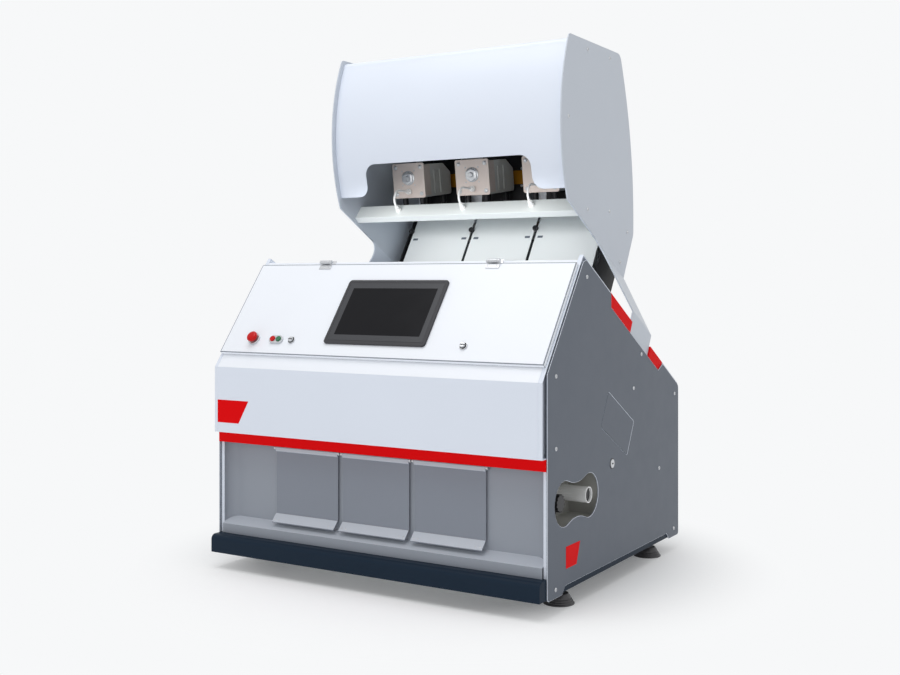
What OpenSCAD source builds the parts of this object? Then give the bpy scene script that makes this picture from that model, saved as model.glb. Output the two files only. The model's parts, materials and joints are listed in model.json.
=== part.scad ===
// Optical colour sorter: a sloped cabinet on levelling feet, a hopper held above it
// on two folded side arms, vibrating feeders, chutes, optics and air ejectors.
// X runs to the right, Y to the back and Z up from the floor.

/* [Cabinet] */
// Width over the dark side panels
base_w = 1310; // [1280:1:1400]
// Depth of the side panels
base_d = 1115; // [1090:1:1160]
// Height of the panels' front edge, where the door slope starts
front_h = 738; // [725:1:750]
// Distance of the ridge behind the panels' front edge
ridge_y = 266; // [255:1:275]
// Height of the ridge
ridge_z = 1093; // [1080:1:1105]
// Height of the panels' rear edge
rear_h = 621; // [605:1:635]
// Thickness of the dark side panels
panel_t = 4; // [3:0.5:5]
// Depth of the folded side frames
frame_t = 14; // [12:1:18]
// Thickness of folded sheet metal
sheet = 3; // [2:0.5:4]
// How far the side frames stand out past the panels on the slopes
slope_lip = 7; // [5:1:10]
// How far the cabinet front stands out past the panels
front_lip = 27; // [22:1:34]

/* [Plinth and feet] */
// Height of the plinth's underside above the floor
plinth_z = 58; // [50:1:70]
// Height of the plinth
plinth_h = 62; // [55:1:70]
// How far the front bumper stands out past the panels
bumper = 45; // [35:1:60]
// How far the rear rail stands out past the panels
rear_strip = 7; // [4:1:12]
// Width of the plinth rails
rail_w = 80; // [70:1:100]
// Diameter of the foot pads
foot_d = 100; // [80:1:108]
// Diameter of the threaded foot studs
stud_d = 16; // [12:1:20]
// Distance of the front feet behind the panels' front edge
foot_front = 190; // [150:1:230]
// Distance of the rear feet behind the panels' front edge
foot_rear = 935; // [900:1:980]

/* [Outlets] */
// Height of the red bar's underside
trim_z = 445; // [435:1:455]
// Height of the red bar
trim_h = 37; // [30:1:45]
// Depth of the outlet recess
recess_d = 48; // [44:1:60]
// Height of the sill where it meets the recess wall
sill_z = 175; // [165:1:185]
// Height of the flaps' lower edge
flap_z = 208; // [200:1:220]
// Diameter of the flaps' hinge rods
rod_d = 7; // [6:0.5:8]

/* [Control door] */
// Strip of the front panel left open under the door
bevel_w = 34; // [28:1:40]
// Length of the door along its slope
door_len = 391; // [380:1:430]
// Thickness of the door
door_t = 14.3; // [12:0.1:16]
// Width of the screen's bezel
bezel_w = 408; // [380:1:440]
// Height of the screen's bezel
bezel_h = 266; // [250:1:280]
// Distance of the screen's middle above the door's lower edge
screen_s = 182; // [165:1:200]
// Distance of the buttons and locks above the door's lower edge
button_s = 58; // [46:1:70]
// Distance of the door locks from the middle
lock_x = 346; // [330:1:360]
// Distance of the hinges from the middle
hinge_x = 345; // [320:1:370]
// Diameter of the hinge pins
pin_d = 8; // [6:0.5:9]

/* [Hopper] */
// Width over the hopper's end plates
hopper_w = 974; // [960:1:1000]
// Thickness of the end plates and their arms
hopper_t = 5; // [4:0.5:6]
// Height of the end plates' top edge
hopper_top = 1873.5; // [1850:0.5:1900]
// Inset of the curved covers from the end plates' outline
cover_inset = 20; // [15:1:26]
// Height of the front cover's lower edge
cover_z = 1339; // [1330:1:1350]
// Height of the top of the front cut-out
cutout_z = 1459; // [1445:1:1465]

/* [Feeders and chutes] */
// Room between the outer chutes and the hopper's outline
chute_side = 55; // [50:1:60]
// Slope of the chutes
chute_a = 57; // [56:0.5:58]
// Height of the feeder deck
deck_z = 1312; // [1305:1:1318]
// Tilt of the feeder drives
feeder_tilt = 8; // [4:1:10]
// Width of the feeders' face plates
face_w = 146; // [130:1:165]

/* [Hidden] */

// Gap between pieces that move past each other
run_gap = 0.3;
// Gap between a turning shaft and its bore, on the diameter
bore_gap = 0.1;
// Gap between separate pieces that stand together
part_gap = 0.2;
// Overshoot of a cut past a face
over = 1;
// Longer than any piece, for cuts and blanks
far = 3000;
// Straight steps in a rounded corner and in a long arc
arc_steps = 6;
long_steps = 16;
$fn = 48;

// Paint and material colours
WHITE = "#f2f5fa";
LIGHT = "#c9d0dc";
SILVER = "#acb4bf";
DARK = "#656c76";
WALL = "#767d87";
LIP = "#b9bcc0";
RED = "#c0160c";
GREEN = "#1e6e46";
NAVY = "#243240";
BLACK = "#2d2a2d";
CHUTE = "#d6dada";
STEEL = "#e4eae9";
BRASSY = "#baafa8";
CASTING = "#5f5f5d";
AMBER = "#be820a";
GLASS = "#26262a";
BEZEL = "#424246";

// Cabinet
half_w = base_w / 2;
inner_x = half_w - panel_t;
web_x = inner_x - frame_t;
seat_x = web_x + sheet;
plinth_top = plinth_z + plinth_h;
trim_top = trim_z + trim_h;
rear_y = base_d + rear_strip;
mid_y = (rear_y - bumper) / 2;
slope_a = atan2(ridge_z - rear_h, base_d - ridge_y);
door_a = atan2(ridge_z - front_h, ridge_y);
toe_y = 8;
chute_count = 3;
chute_pitch = (hopper_w - 2 * chute_side) / chute_count;
skeleton = [[0, plinth_top], [base_d, plinth_top], [base_d, rear_h], [ridge_y, ridge_z], [0, front_h]];

// Plinth and feet
rail_wall = 6;
bumper_r = 18;
boss_d = 40;
foot_inset = 55;
pad_h = 34;
pad_rib = 4;
socket_z = 14;
nut_h = 12;
nut_d = 30;

// Lower edge of the side panels
lobe_z = 53;
arch_z = 77;
lobe_len = 100;
lobe_r = 12;
ridge_r = 30;
rear_r = 24;

// Notch in the panels' rear slope, with the hopper arm between two red strips
notch_s = [243, 785];
notch_floor = [265, 756];
notch_n = 40;
strip_under = 10;
arm_s = [461, 655];
arm_foot_n = 110;
fold_top_n = 290;
fold_low_n = 50;
arm_root_s = 400;
arm_root_r = 70;

// Two-lobed opening in the right panel and the pocket behind it
pocket_y = 120;
pipe_y = 300;
pocket_z = 330;
pocket_r = 71;
neck_h = 54;
pocket_rim = 9;
pocket_d = 110;
pocket_wall = 2;
pipe_d = 52;
pipe_wall = 3;
valve_d = 56;
valve_len = 66;
spindle_d = 10;
spindle_len = 24;
knob_d = 56;
knob_len = 32;

// Side hatch and panel lock
hatch_y = 533;
hatch_z = 533;
hatch_len = 249;
hatch_h = 125;
hatch_r = 8;
hatch_gap = 1;
hatch_stud = 12;
panel_lock_y = 483;
panel_lock_z = 406;
panel_lock_d = 30;
lock_proud = 3;

// Screw heads
head_d = 14;
head_h = 3;

// Outlets
bar_out = 5;
sill_drop = 21;
cove_r = 40;
rail_gap = 2;
lug_w = 8;
lug_r = 8;
flap_t = 3;
lip_out = 28;
lip_down = 30;
flap_y = recess_d - 8;
hinge_z = trim_z - 11;
window_side = 30;
window_top = 20;
window_low = 25;
flap_half = chute_pitch / 2 - rail_gap - lug_w - 2 * run_gap;

// Control door, in its own slope: s up from the panels' knee, m out of the slope
door_w = 2 * (inner_x - 6);
door_s = bevel_w - front_lip * cos(door_a);
door_m = slope_lip + run_gap;
face_m = door_m + door_t;
door_skin = 2;
bevel_under = 7;
bevel_return = 15;
screen_mid = door_s + screen_s;
button_mid = door_s + button_s;
bezel_out = 7;
bezel_r = 12;
glass_w = 384;
glass_h = 240;
glass_t = 2;
screen_body_w = 360;
screen_body_h = 220;
screen_depth = 40;
estop_x = -513;
estop_d = 40;
estop_h = 14;
estop_travel = 6;
collar_d = 46;
collar_h = 7;
stem_d = 16;
stem_in = 26;
pair_x = -413;
pair_w = 58;
pair_h = 30;
pair_out = 8;
key_d = 20;
key_pitch = 26;
key_out = 4;
key_travel = 3;
lock_d = 28;
lock_ring = 4;
barrel_d = 18;
barrel_out = 8;
barrel_in = 14;
tongue = 26;
tongue_t = 3;
hinge_s = door_s + door_len + 3;
hinge_m = face_m + pin_d;
knuckle_r = pin_d - 1;
knuckle_w = 30;
ear_w = 10;
leaf_len = 26;
leaf_t = 3;

// Hopper
hopper_x = hopper_w / 2;
hopper_in = hopper_x - hopper_t;
plate_front_y = 493;
plate_top_front = 505;
plate_top_rear = 950;
plate_rear_s = 660;
plate_rear_n = 485;
front_bulge = 57;
rear_bulge = 39;
top_drop = 11;
top_bend = 34;
top_flange = 45;
rear_cover_z = 1200;
cut_side = 135;
cut_x = hopper_x - cut_side;
cut_r = 42;
cover_t = 3;
handle_in = 102;
handle_x = hopper_in - handle_in;
handle_z = [1510, 1568];
handle_out = 52;
handle_d = 18;
bin_top = hopper_top - 24;
bin_inlet = [590, 880];
bin_mouth = [700, 800];
plate_rear_r = 36;
plate_front_r = 16;
bin_bridge = 44;

// Feeders
beam_face = [40, 46];
beam_lip = [-20, 19];
beam_top_y = 629;
deck_rear = 955;
deck_turn = 30;
beam_t = 4;
feeder_y = 692;
feeder_lift = 32;
drive_w = 118;
drive_len = 215;
drive_h = 126;
drive_r = 12;
drive_rib = 4;
face_h = 136;
face_t = 6;
face_r = 8;
face_return = 40;
face_wall = 3;
face_nut_d = 44;
face_nut_h = 10;
face_nut_z = 78;
face_bolt_d = 11;
face_bolt_in = 16;
post_d = 22;
post_x = 40;
post_y = [24, 180];
gland_d = 16;
gland_len = 18;
gland_nut_d = 22;
gland_nut_h = 8;
gland_up = 26;
cable_d = 8.5;
cable_bend = 35;
spring_y = 934;
spring_w = 190;
spring_t = 4;
spring_gap = 8;
bracket_y = [916, 950];
bracket_h = 74;
tray_lift = 213;
tray_z = deck_z + tray_lift;
tray_gap = 38;
tray_w = chute_pitch - tray_gap;
tray_h = 48;
bin_clear = 17;
bin_low = tray_z + tray_h + bin_clear;
bin_neck = 26;
bin_neck_z = bin_low + bin_neck;
tray_y = [645, 1002];
tray_t = 3;
ear_t = 6;
ear_h = 36;

// Chutes, in their own slope: t up the chute, d back from the covers' front
chute_y = 860;
chute_z = 1120;
deck_clear = 12;
chute_top = (deck_z - deck_clear - chute_z) / sin(chute_a);
chute_end = -619;
cover_top = chute_top;
cover_low = -330;
cover_sheet = 2;
frame_top = chute_top + 10;
frame_low = -540;
frame_d = 160;
frame_back = chute_top - 135;
frame_cut = 40;
frame_side = 6;
bar_w = 16;
bar_top = chute_top - 143;
tube_w = 40;
tube_d = 80;
tube_low = -500;
tube_high = chute_top - 115;
channel_h = 35;
slot_w = 22;
slot_h = 7;
slot_t = chute_top - 135;
knob_t = chute_top - 95;
chute_knob_d = 20;
chute_knob_h = 14;
chute_stud_d = 8;
chute_half = chute_count * chute_pitch / 2 + rail_gap * 4;
steps = [for (i = [0:chute_count - 1]) i - (chute_count - 1) / 2];

// Optics and ducts
box_t = [-800, -650];
box_near = 80;
box_far = 280;
window_h = 60;
window_in = 10;
window_w = 2 * (chute_half - window_in);
glass_plate = 4;
glass_rim = 10;
ejector_t = [-890, -840];
ejector_d = [36, 100];
valve_n = 24;
valve_w = 16;
valve_h = 34;
duct_side = 40;
duct_half = inner_x - pocket_d - duct_side;
duct_lift = 8;
duct_knee = [330, 300];
duct_lip = [345, 330];
reject_y = [402, 560];
reject_front = [394, 300];
reject_rear = [505, 290];
electric_w = 620;
electric_d = 62;
electric_h = 300;
vent_rows = 8;
vent_w = 190;
vent_h = 9;
vent_pitch = 26;
vent_x = 330;
vent_z = 330;

// Unit vector
function unit(v) = v / norm(v);

// Angle brought between -180 and 180 degrees
function wrapped(a) = a - 360 * round(a / 360);

// Point in the side view from the ridge: s down the rear slope, n out of it
function rear_pt(s, n) = [
  ridge_y + s * cos(slope_a) + n * sin(slope_a),
  ridge_z - s * sin(slope_a) + n * cos(slope_a)];

// Point in the side view from the knee: s up the door slope, m out of it
function door_pt(s, m) = [
  s * cos(door_a) - m * sin(door_a),
  front_h + s * sin(door_a) + m * cos(door_a)];

// Point in the side view along the chutes: t up the chute, d back from its front
function chute_pt(t, d) = [
  chute_y + t * cos(chute_a) + d * sin(chute_a),
  chute_z + t * sin(chute_a) - d * cos(chute_a)];

// Height of a line parallel to the rear slope, n above it, at depth y
function slope_z(y, n) = ridge_z + (n - (y - ridge_y) * sin(slope_a)) / cos(slope_a);

// Place along the rear slope where the chutes' line at depth d crosses height n above it
function chute_s(d, n) =
  let (lean = chute_a + slope_a, p = chute_pt(0, d) - [ridge_y, ridge_z])
  let (up = p[0] * sin(slope_a) + p[1] * cos(slope_a), along = p[0] * cos(slope_a) - p[1] * sin(slope_a))
  along + (n - up) / tan(lean);

// Rounded corner at b between a and c
function bend(a, b, c, r) =
  let (u = unit(a - b), v = unit(c - b), half = acos(u * v) / 2)
  let (o = b + unit(u + v) * r / sin(half), p = b + u * r / tan(half) - o, q = b + v * r / tan(half) - o)
  let (from = atan2(p[1], p[0]), turn = wrapped(atan2(q[1], q[0]) - from))
  [for (i = [0:arc_steps]) o + r * [cos(from + turn * i / arc_steps), sin(from + turn * i / arc_steps)]];

// Outline with rounded corners, from a list of [x, y, radius]
function rounded(p) = [
  for (i = [0:len(p) - 1])
    let (a = p[(i + len(p) - 1) % len(p)], b = p[i], c = p[(i + 1) % len(p)])
      each b[2] > 0 ? bend([a[0], a[1]], [b[0], b[1]], [c[0], c[1]], b[2]) : [[b[0], b[1]]]];

// Rounded rectangle about the middle
function plate_outline(w, h, r) = rounded([
  [-w / 2, -h / 2, r], [w / 2, -h / 2, r], [w / 2, h / 2, r], [-w / 2, h / 2, r]]);

// Outline moved outwards by its own distance along each edge
function spread(p, d) = [
  for (i = [0:len(p) - 1])
    let (n = len(p), j = (i + n - 1) % n, e = unit(p[i] - p[j]), f = unit(p[(i + 1) % n] - p[i]))
    let (a = [e[1], -e[0]], b = [f[1], -f[0]], k = a[0] * b[1] - a[1] * b[0])
      p[i] + [d[j] * b[1] - d[i] * a[1], a[0] * d[i] - b[0] * d[j]] / k];

// Folded sheet of thickness t to the left of a path
function beside(path, i, t) =
  let (e = unit(path[max(i, 1)] - path[max(i, 1) - 1]), k = min(i, len(path) - 2), f = unit(path[k + 1] - path[k]))
  path[i] + t * [-e[1] - f[1], e[0] + f[0]] / (1 + e * f);
function folded(path, t) = concat(path, [for (i = [len(path) - 1:-1:0]) beside(path, i, t)]);

// Arc from p to q that bulges by h to the right of the way from p to q
function arc_radius(p, q, h) = ((q - p) * (q - p) / 4 + h * h) / (2 * h);
function arc_middle(p, q, h) = (p + q) / 2 + unit([q[1] - p[1], p[0] - q[0]]) * (h - arc_radius(p, q, h));
function bulged(p, q, h) =
  let (r = arc_radius(p, q, h), o = arc_middle(p, q, h))
  let (from = atan2(p[1] - o[1], p[0] - o[0]), turn = wrapped(atan2(q[1] - o[1], q[0] - o[0]) - from))
  [for (i = [0:long_steps]) o + r * [cos(from + turn * i / long_steps), sin(from + turn * i / long_steps)]];

// Outline of the side frames, set in by g
function frame_outline(g) = spread(skeleton, [-g, -g, slope_lip - g, slope_lip - g, front_lip - g]);

// Front and rear edges of the hopper's end plates
plate_corner = [plate_front_y, slope_z(plate_front_y, fold_top_n)];
plate_front = bulged([plate_top_front, hopper_top], plate_corner, front_bulge);
plate_rear = bulged(rear_pt(plate_rear_s, plate_rear_n), [plate_top_rear, hopper_top], rear_bulge);

// Moves the machine so that its middle is over the origin
module machine() {
  translate([0, -mid_y, 0]) children();
}

// Side-view outline made w wide from x to the right
module slab(x, w) {
  translate([x, 0, 0]) rotate([90, 0, 90]) linear_extrude(w) children();
}

// Side-view outline made w wide about the middle
module across(w) {
  slab(-w / 2, w) children();
}

// Frame on the door's slope: X, s up the slope, m out of it
module on_door() {
  translate([0, 0, front_h]) rotate([door_a, 0, 0]) children();
}

// Frame on the rear slope: X, s down the slope, n out of it
module on_ridge() {
  translate([0, ridge_y, ridge_z]) rotate([-slope_a, 0, 0]) children();
}

// Frame on the chutes: X, t up the chute, depth towards minus Z
module on_chute() {
  translate([0, chute_y, chute_z]) rotate([chute_a, 0, 0]) children();
}

// Frame of a feeder drive: its lower front edge, tilted
module on_feeder(i) {
  translate([i * chute_pitch, feeder_y, deck_z + feeder_lift]) rotate([feeder_tilt, 0, 0]) children();
}

// A shape and its mirror image on the left
module both_sides() {
  children();
  mirror([1, 0, 0]) children();
}

// Round bar along X
module bar_x(x, len, d) {
  translate([x, 0, 0]) rotate([0, 90, 0]) cylinder(d = d, h = len);
}

// One of something at each foot
module at_feet() {
  for (x = [-1, 1], y = [foot_front, foot_rear]) {
    translate([x * (half_w - foot_inset), y, 0]) children();
  }
}

// Ring of rails, each wall set in by g
module plinth_ring(g, h) {
  difference() {
    translate([g - inner_x, g - bumper, plinth_z])
      cube([2 * (inner_x - g), rear_y + bumper - 2 * g, h]);
    translate([rail_w - g - inner_x, rail_w - g - bumper, plinth_z - over])
      cube([2 * (inner_x - rail_w + g), rear_y + bumper - 2 * (rail_w - g), h + 2 * over]);
  }
}

// Waste at a rounded edge of radius r
module edge_waste(r) {
  difference() {
    translate([-over, 0]) square([r + over, r + over]);
    translate([r, 0]) circle(r);
  }
}

module plinth_frame() {
  color(NAVY) machine() difference() {
    union() {
      difference() {
        plinth_ring(0, plinth_h);
        translate([0, 0, -over]) plinth_ring(rail_wall, plinth_h - rail_wall + over);
        across(2 * inner_x + 2 * over) translate([-bumper, plinth_top - bumper_r]) edge_waste(bumper_r);
      }
      at_feet() translate([0, 0, plinth_z]) cylinder(d = boss_d, h = plinth_h - rail_wall / 2);
    }
    at_feet() translate([0, 0, plinth_z - over])
      cylinder(d = stud_d + bore_gap, h = plinth_h - rail_wall + over);
  }
}

module foot_pads() {
  r = foot_d / 2;
  hole = (stud_d + bore_gap) / 2;
  color(BLACK) machine() at_feet() rotate_extrude() polygon([
    [0, 0], [r, 0], [r, pad_rib], [r - pad_rib, 1.5 * pad_rib], [r - pad_rib, 2.5 * pad_rib],
    [r - 2 * pad_rib, 3 * pad_rib], [r - 2 * pad_rib, 4 * pad_rib], [r - 3 * pad_rib, 4.5 * pad_rib],
    [r - 3 * pad_rib, 5.5 * pad_rib], [r - 5 * pad_rib, pad_h], [hole, pad_h], [hole, socket_z], [0, socket_z]]);
}

module foot_studs() {
  color(LIP) machine() at_feet() {
    translate([0, 0, socket_z]) cylinder(d = stud_d, h = plinth_top - rail_wall - socket_z);
    translate([0, 0, plinth_z - nut_h]) cylinder(d = nut_d, h = nut_h, $fn = 6);
  }
}

// Side frame's outline, set in by g, without the step under the front panel
module frame_2d(g) {
  difference() {
    polygon(frame_outline(g));
    translate([-far, 0]) square([far + toe_y + g, trim_top + g]);
  }
}

// Folded pan that carries a side panel, open in its slope for the hopper arm
module side_frame() {
  difference() {
    slab(web_x, frame_t) frame_2d(0);
    slab(seat_x, frame_t) frame_2d(sheet);
    on_ridge() translate([seat_x, notch_s[0], slope_lip - sheet - over])
      cube([frame_t, notch_s[1] - notch_s[0], sheet + 2 * over]);
  }
}

// Side-view outline of the pocket, grown by g
module pocket_2d(g) {
  edge = pocket_r + pocket_rim + g;
  front = recess_d + sheet + 2 * part_gap - g;
  translate([front, pocket_z - edge]) square([pipe_y + edge - front, 2 * edge]);
}

module side_frame_right() {
  color(LIGHT) machine() difference() {
    side_frame();
    slab(web_x - over, frame_t) pocket_2d(part_gap);
  }
}

module side_frame_left() {
  color(LIGHT) machine() mirror([1, 0, 0]) side_frame();
}

// Dark side panel with its feet lobes, arched lower edge and notched rear slope
panel_outline = rounded([
  [0, lobe_z, lobe_r], [lobe_len, lobe_z, lobe_r], [lobe_len + arch_z - lobe_z, arch_z, lobe_r],
  [base_d - lobe_len - arch_z + lobe_z, arch_z, lobe_r], [base_d - lobe_len, lobe_z, lobe_r],
  [base_d, lobe_z, lobe_r], [base_d, rear_h, rear_r],
  concat(rear_pt(notch_s[1], 0), lobe_r / 2), concat(rear_pt(notch_floor[1], -notch_n), lobe_r / 2),
  concat(rear_pt(notch_floor[0], -notch_n), 0), concat(rear_pt(notch_s[0], 0), 0),
  [ridge_y, ridge_z, ridge_r], [0, front_h, lobe_r]]);

// Two round lobes joined by a waisted neck
function arc_pts(o, r, from, to) = [
  for (k = [1:long_steps]) let (a = from + (to - from) * k / long_steps) o + r * [cos(a), sin(a)]];
module pocket_opening() {
  d = (pipe_y - pocket_y) / 2;
  waist_r = (d * d + neck_h * neck_h - pocket_r * pocket_r) / (2 * (pocket_r - neck_h));
  waist_z = waist_r + neck_h;
  a = atan2(waist_z, -d);
  translate([pocket_y + d, pocket_z]) polygon(concat(
    arc_pts([d, 0], pocket_r, -a, a), arc_pts([0, waist_z], waist_r, a - 180, -a),
    arc_pts([-d, 0], pocket_r, 180 - a, 180 + a), arc_pts([0, -waist_z], waist_r, a, 180 - a)));
}

// Hatch outline in the side view, grown by g
module hatch_2d(g) {
  translate([hatch_y, hatch_z]) rotate(-slope_a)
    polygon(plate_outline(hatch_len + 2 * g, hatch_h + 2 * g, hatch_r + g));
}

module side_panel_right() {
  color(DARK) machine() slab(inner_x, panel_t) difference() {
    polygon(panel_outline);
    pocket_opening();
    hatch_2d(hatch_gap);
    translate([panel_lock_y, panel_lock_z]) circle(d = panel_lock_d);
  }
}

module side_panel_left() {
  color(DARK) machine() mirror([1, 0, 0]) slab(inner_x, panel_t) polygon(panel_outline);
}

// Side-view places of the screws in a side panel and in a hopper end plate
panel_screw_at = [
  [57, front_h - 10], [57, trim_top + 25], [54, arch_z + 3], [base_d - 43, rear_h - 29],
  [base_d - 52, arch_z + 7], [913, 332], [670, 644], [742, 759], [282, ridge_z - 62]];
plate_screw_at = [
  [655, hopper_top - 32], [852, hopper_top - 32], [497, 1585], [655, slope_z(655, fold_top_n) + 64],
  [848, slope_z(848, fold_top_n) + 174], [1017, 1204], rear_pt(598, 327)];

module panel_screws() {
  color(LIP) machine() both_sides() {
    for (p = panel_screw_at) translate([0, p[0], p[1]]) bar_x(half_w, head_h, head_d);
    for (p = plate_screw_at) translate([0, p[0], p[1]]) bar_x(hopper_x, head_h, head_d);
  }
}

// Red strip beside a hopper arm, from s to e down the slope
module arm_strip(s, e) {
  low = notch_n + strip_under;
  translate([seat_x, s, -low]) cube([frame_t - sheet, e - s, low + slope_lip]);
}

module red_trims() {
  color(RED) machine() {
    translate([-inner_x, -bar_out, trim_z]) cube([2 * inner_x, toe_y + bar_out, trim_h]);
    both_sides() on_ridge() {
      arm_strip(notch_s[0], arm_s[0] - part_gap);
      arm_strip(arm_s[1] + part_gap, notch_s[1]);
    }
  }
}

module front_panel() {
  knee = frame_outline(0)[4];
  color(LIGHT) machine() across(2 * web_x) polygon(folded([
    [toe_y, trim_top], [-front_lip, trim_top], knee, door_pt(door_s + bevel_under, slope_lip),
    door_pt(door_s + bevel_under, slope_lip - bevel_return)], -sheet));
}

module outlet_front() {
  color(WALL) machine() difference() {
    union() {
      across(2 * web_x) polygon(folded([
        [recess_d, trim_top], [recess_d, sill_z], [0, sill_z - sill_drop], [0, plinth_top]], sheet));
      both_sides() translate([web_x - cove_r, recess_d - cove_r, sill_z - sill_drop]) difference() {
        cube([cove_r, cove_r, trim_top - sill_z + sill_drop]);
        translate([0, 0, -over]) cylinder(r = cove_r, h = far);
      }
    }
    for (i = steps) {
      translate([i * chute_pitch - chute_pitch / 2 + window_side, 0, flap_z + window_low])
        cube([chute_pitch - 2 * window_side, far, hinge_z - window_top - flap_z - window_low]);
    }
  }
}

module flap_hinge_rails() {
  rail = chute_pitch - 2 * rail_gap;
  back = rod_d / 2 + run_gap * 2;
  color(LIP) machine() for (i = steps) translate([i * chute_pitch - rail / 2, flap_y, hinge_z]) difference() {
    union() {
      translate([0, back, -lug_r]) cube([rail, recess_d - flap_y - back, 2 * lug_r]);
      for (x = [0, rail - lug_w]) {
        bar_x(x, lug_w, 2 * lug_r);
        translate([x, 0, -lug_r]) cube([lug_w, recess_d - flap_y, 2 * lug_r]);
      }
    }
    bar_x(-over, rail + 2 * over, rod_d + bore_gap);
  }
}

// Outlet flap at step i: hinge rod, sheet and forward lip
module outlet_flap(i) {
  rail = chute_pitch - 2 * rail_gap;
  front = flap_y - flap_t / 2;
  color(WALL) machine() translate([i * chute_pitch, 0, 0]) {
    translate([0, flap_y, hinge_z]) bar_x(-rail / 2, rail, rod_d);
    across(2 * flap_half) polygon(folded([
      [front, hinge_z], [front, flap_z], [front - lip_out, flap_z - lip_down]], flap_t));
  }
}

module outlet_flap_left() {
  outlet_flap(-1);
}

module outlet_flap_middle() {
  outlet_flap(0);
}

module outlet_flap_right() {
  outlet_flap(1);
}

module rear_panel() {
  color(SILVER) machine() difference() {
    translate([-web_x, base_d - sheet, plinth_top])
      cube([2 * web_x, sheet, slope_z(base_d, slope_lip - sheet) - plinth_top]);
    for (side = [-1, 1], k = [0:vent_rows - 1]) {
      translate([side * vent_x - vent_w / 2, base_d - sheet - over, vent_z + k * vent_pitch])
        cube([vent_w, sheet + 2 * over, vent_h]);
    }
  }
}

rail_s = 80;
rail_drop = 17;

module slope_cover() {
  end_s = (base_d - ridge_y - slope_lip * sin(slope_a)) / cos(slope_a);
  hole_s = chute_s(0, slope_lip) - over;
  hole_e = chute_s(frame_d, slope_lip - sheet) + over;
  wide = chute_half + frame_side + over;
  color(LIGHT) machine() on_ridge() difference() {
    translate([-web_x, rail_s, slope_lip - sheet]) cube([2 * web_x, end_s - rail_s, sheet]);
    translate([-wide, hole_s, slope_lip - sheet - over]) cube([2 * wide, hole_e - hole_s, sheet + 2 * over]);
  }
}

module top_rail() {
  ridge = frame_outline(0)[3];
  color(LIGHT) machine() across(2 * web_x) polygon(folded([
    door_pt(door_s + door_len + sheet, slope_lip), ridge - rail_drop * [1 / tan(door_a), 1],
    ridge + rail_drop * [1 / tan(slope_a), -1], rear_pt(rail_s, slope_lip)], -sheet));
}

module door_hinge_brackets() {
  color(STEEL) machine() on_door() for (side = [-1, 1]) {
    translate([side * hinge_x - knuckle_w / 2, hinge_s, hinge_m]) difference() {
      union() {
        bar_x(0, knuckle_w, 2 * knuckle_r);
        translate([0, 0, slope_lip - hinge_m]) cube([knuckle_w, knuckle_r, hinge_m - slope_lip]);
        translate([-ear_w, 0, slope_lip - hinge_m]) cube([knuckle_w + 2 * ear_w, 3 * knuckle_r, leaf_t]);
      }
      bar_x(-over, knuckle_w + 2 * over, pin_d + bore_gap);
    }
  }
}

module service_recess() {
  color(WALL) machine() difference() {
    slab(inner_x - pocket_d, pocket_d) pocket_2d(0);
    slab(inner_x - pocket_d + pocket_wall, pocket_d) pocket_2d(-pocket_wall);
  }
}

pocket_back = inner_x - pocket_d + pocket_wall;

module air_inlet_pipe() {
  color(STEEL) machine() translate([0, pipe_y, pocket_z]) difference() {
    bar_x(pocket_back, half_w - over - pocket_back, pipe_d);
    bar_x(pocket_back + pipe_wall, far, pipe_d - 2 * pipe_wall);
  }
}

module filter_regulator() {
  color(BLACK) machine() translate([0, pocket_y, pocket_z]) {
    bar_x(pocket_back, valve_len, valve_d);
    bar_x(pocket_back, valve_len + spindle_len, spindle_d);
  }
}

module regulator_knob() {
  color(CASTING) machine() translate([0, pocket_y, pocket_z]) difference() {
    bar_x(pocket_back + valve_len + run_gap, knob_len, knob_d);
    bar_x(pocket_back, valve_len + spindle_len + run_gap, spindle_d + bore_gap);
    for (k = [0:11]) rotate([k * 30, 0, 0]) translate([0, 0, knob_d / 2])
      bar_x(pocket_back + valve_len + knob_len / 4, knob_len, knob_d / 8);
  }
}

module side_hatch() {
  color(DARK) machine() {
    slab(inner_x, panel_t) hatch_2d(0);
    translate([0, hatch_y, hatch_z]) rotate([-slope_a, 0, 0]) for (y = [-1, 1], z = [-1, 1])
      translate([0, y * (hatch_len / 2 - hatch_stud), z * (hatch_h / 2 - hatch_stud)])
        bar_x(seat_x, frame_t - sheet, hatch_stud);
  }
}

module panel_lock() {
  color(LIP) machine() translate([0, panel_lock_y, panel_lock_z]) difference() {
    bar_x(seat_x + run_gap, half_w + lock_proud - seat_x - run_gap, panel_lock_d - 2 * run_gap);
    translate([half_w, -panel_lock_d / 4, -lock_ring / 2]) cube([far, panel_lock_d / 2, lock_ring]);
  }
}

// Outline of a hopper end plate and its arm, in the side view
function with_ends(p, first, last) = [
  for (i = [0:len(p) - 1]) concat(p[i], i == 0 ? first : i == len(p) - 1 ? last : 0)];
hopper_outline = rounded(concat(
  [concat(rear_pt(arm_s[0], -arm_foot_n), lobe_r), concat(rear_pt(arm_s[1], -arm_foot_n), lobe_r)],
  [concat(rear_pt(arm_s[1], fold_low_n), 0)],
  with_ends(plate_rear, plate_rear_r, plate_rear_r),
  with_ends(plate_front, plate_front_r, plate_front_r),
  [concat(rear_pt(arm_root_s, fold_top_n), arm_root_r), concat(rear_pt(arm_s[0], fold_low_n), lobe_r)]));

// End plate folded outwards into the arm that stands inside the side frame
module hopper_plate() {
  intersection() {
    slab(0, far) polygon(hopper_outline);
    on_ridge() translate([0, far / 2, 0]) rotate([90, 0, 0]) linear_extrude(far) polygon(folded([
      [hopper_in, far], [hopper_in, fold_top_n], [seat_x, fold_low_n], [seat_x, -far]], hopper_t));
  }
}

module hopper_plate_right() {
  color(SILVER) machine() hopper_plate();
}

module hopper_plate_left() {
  color(SILVER) machine() mirror([1, 0, 0]) hopper_plate();
}

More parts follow.
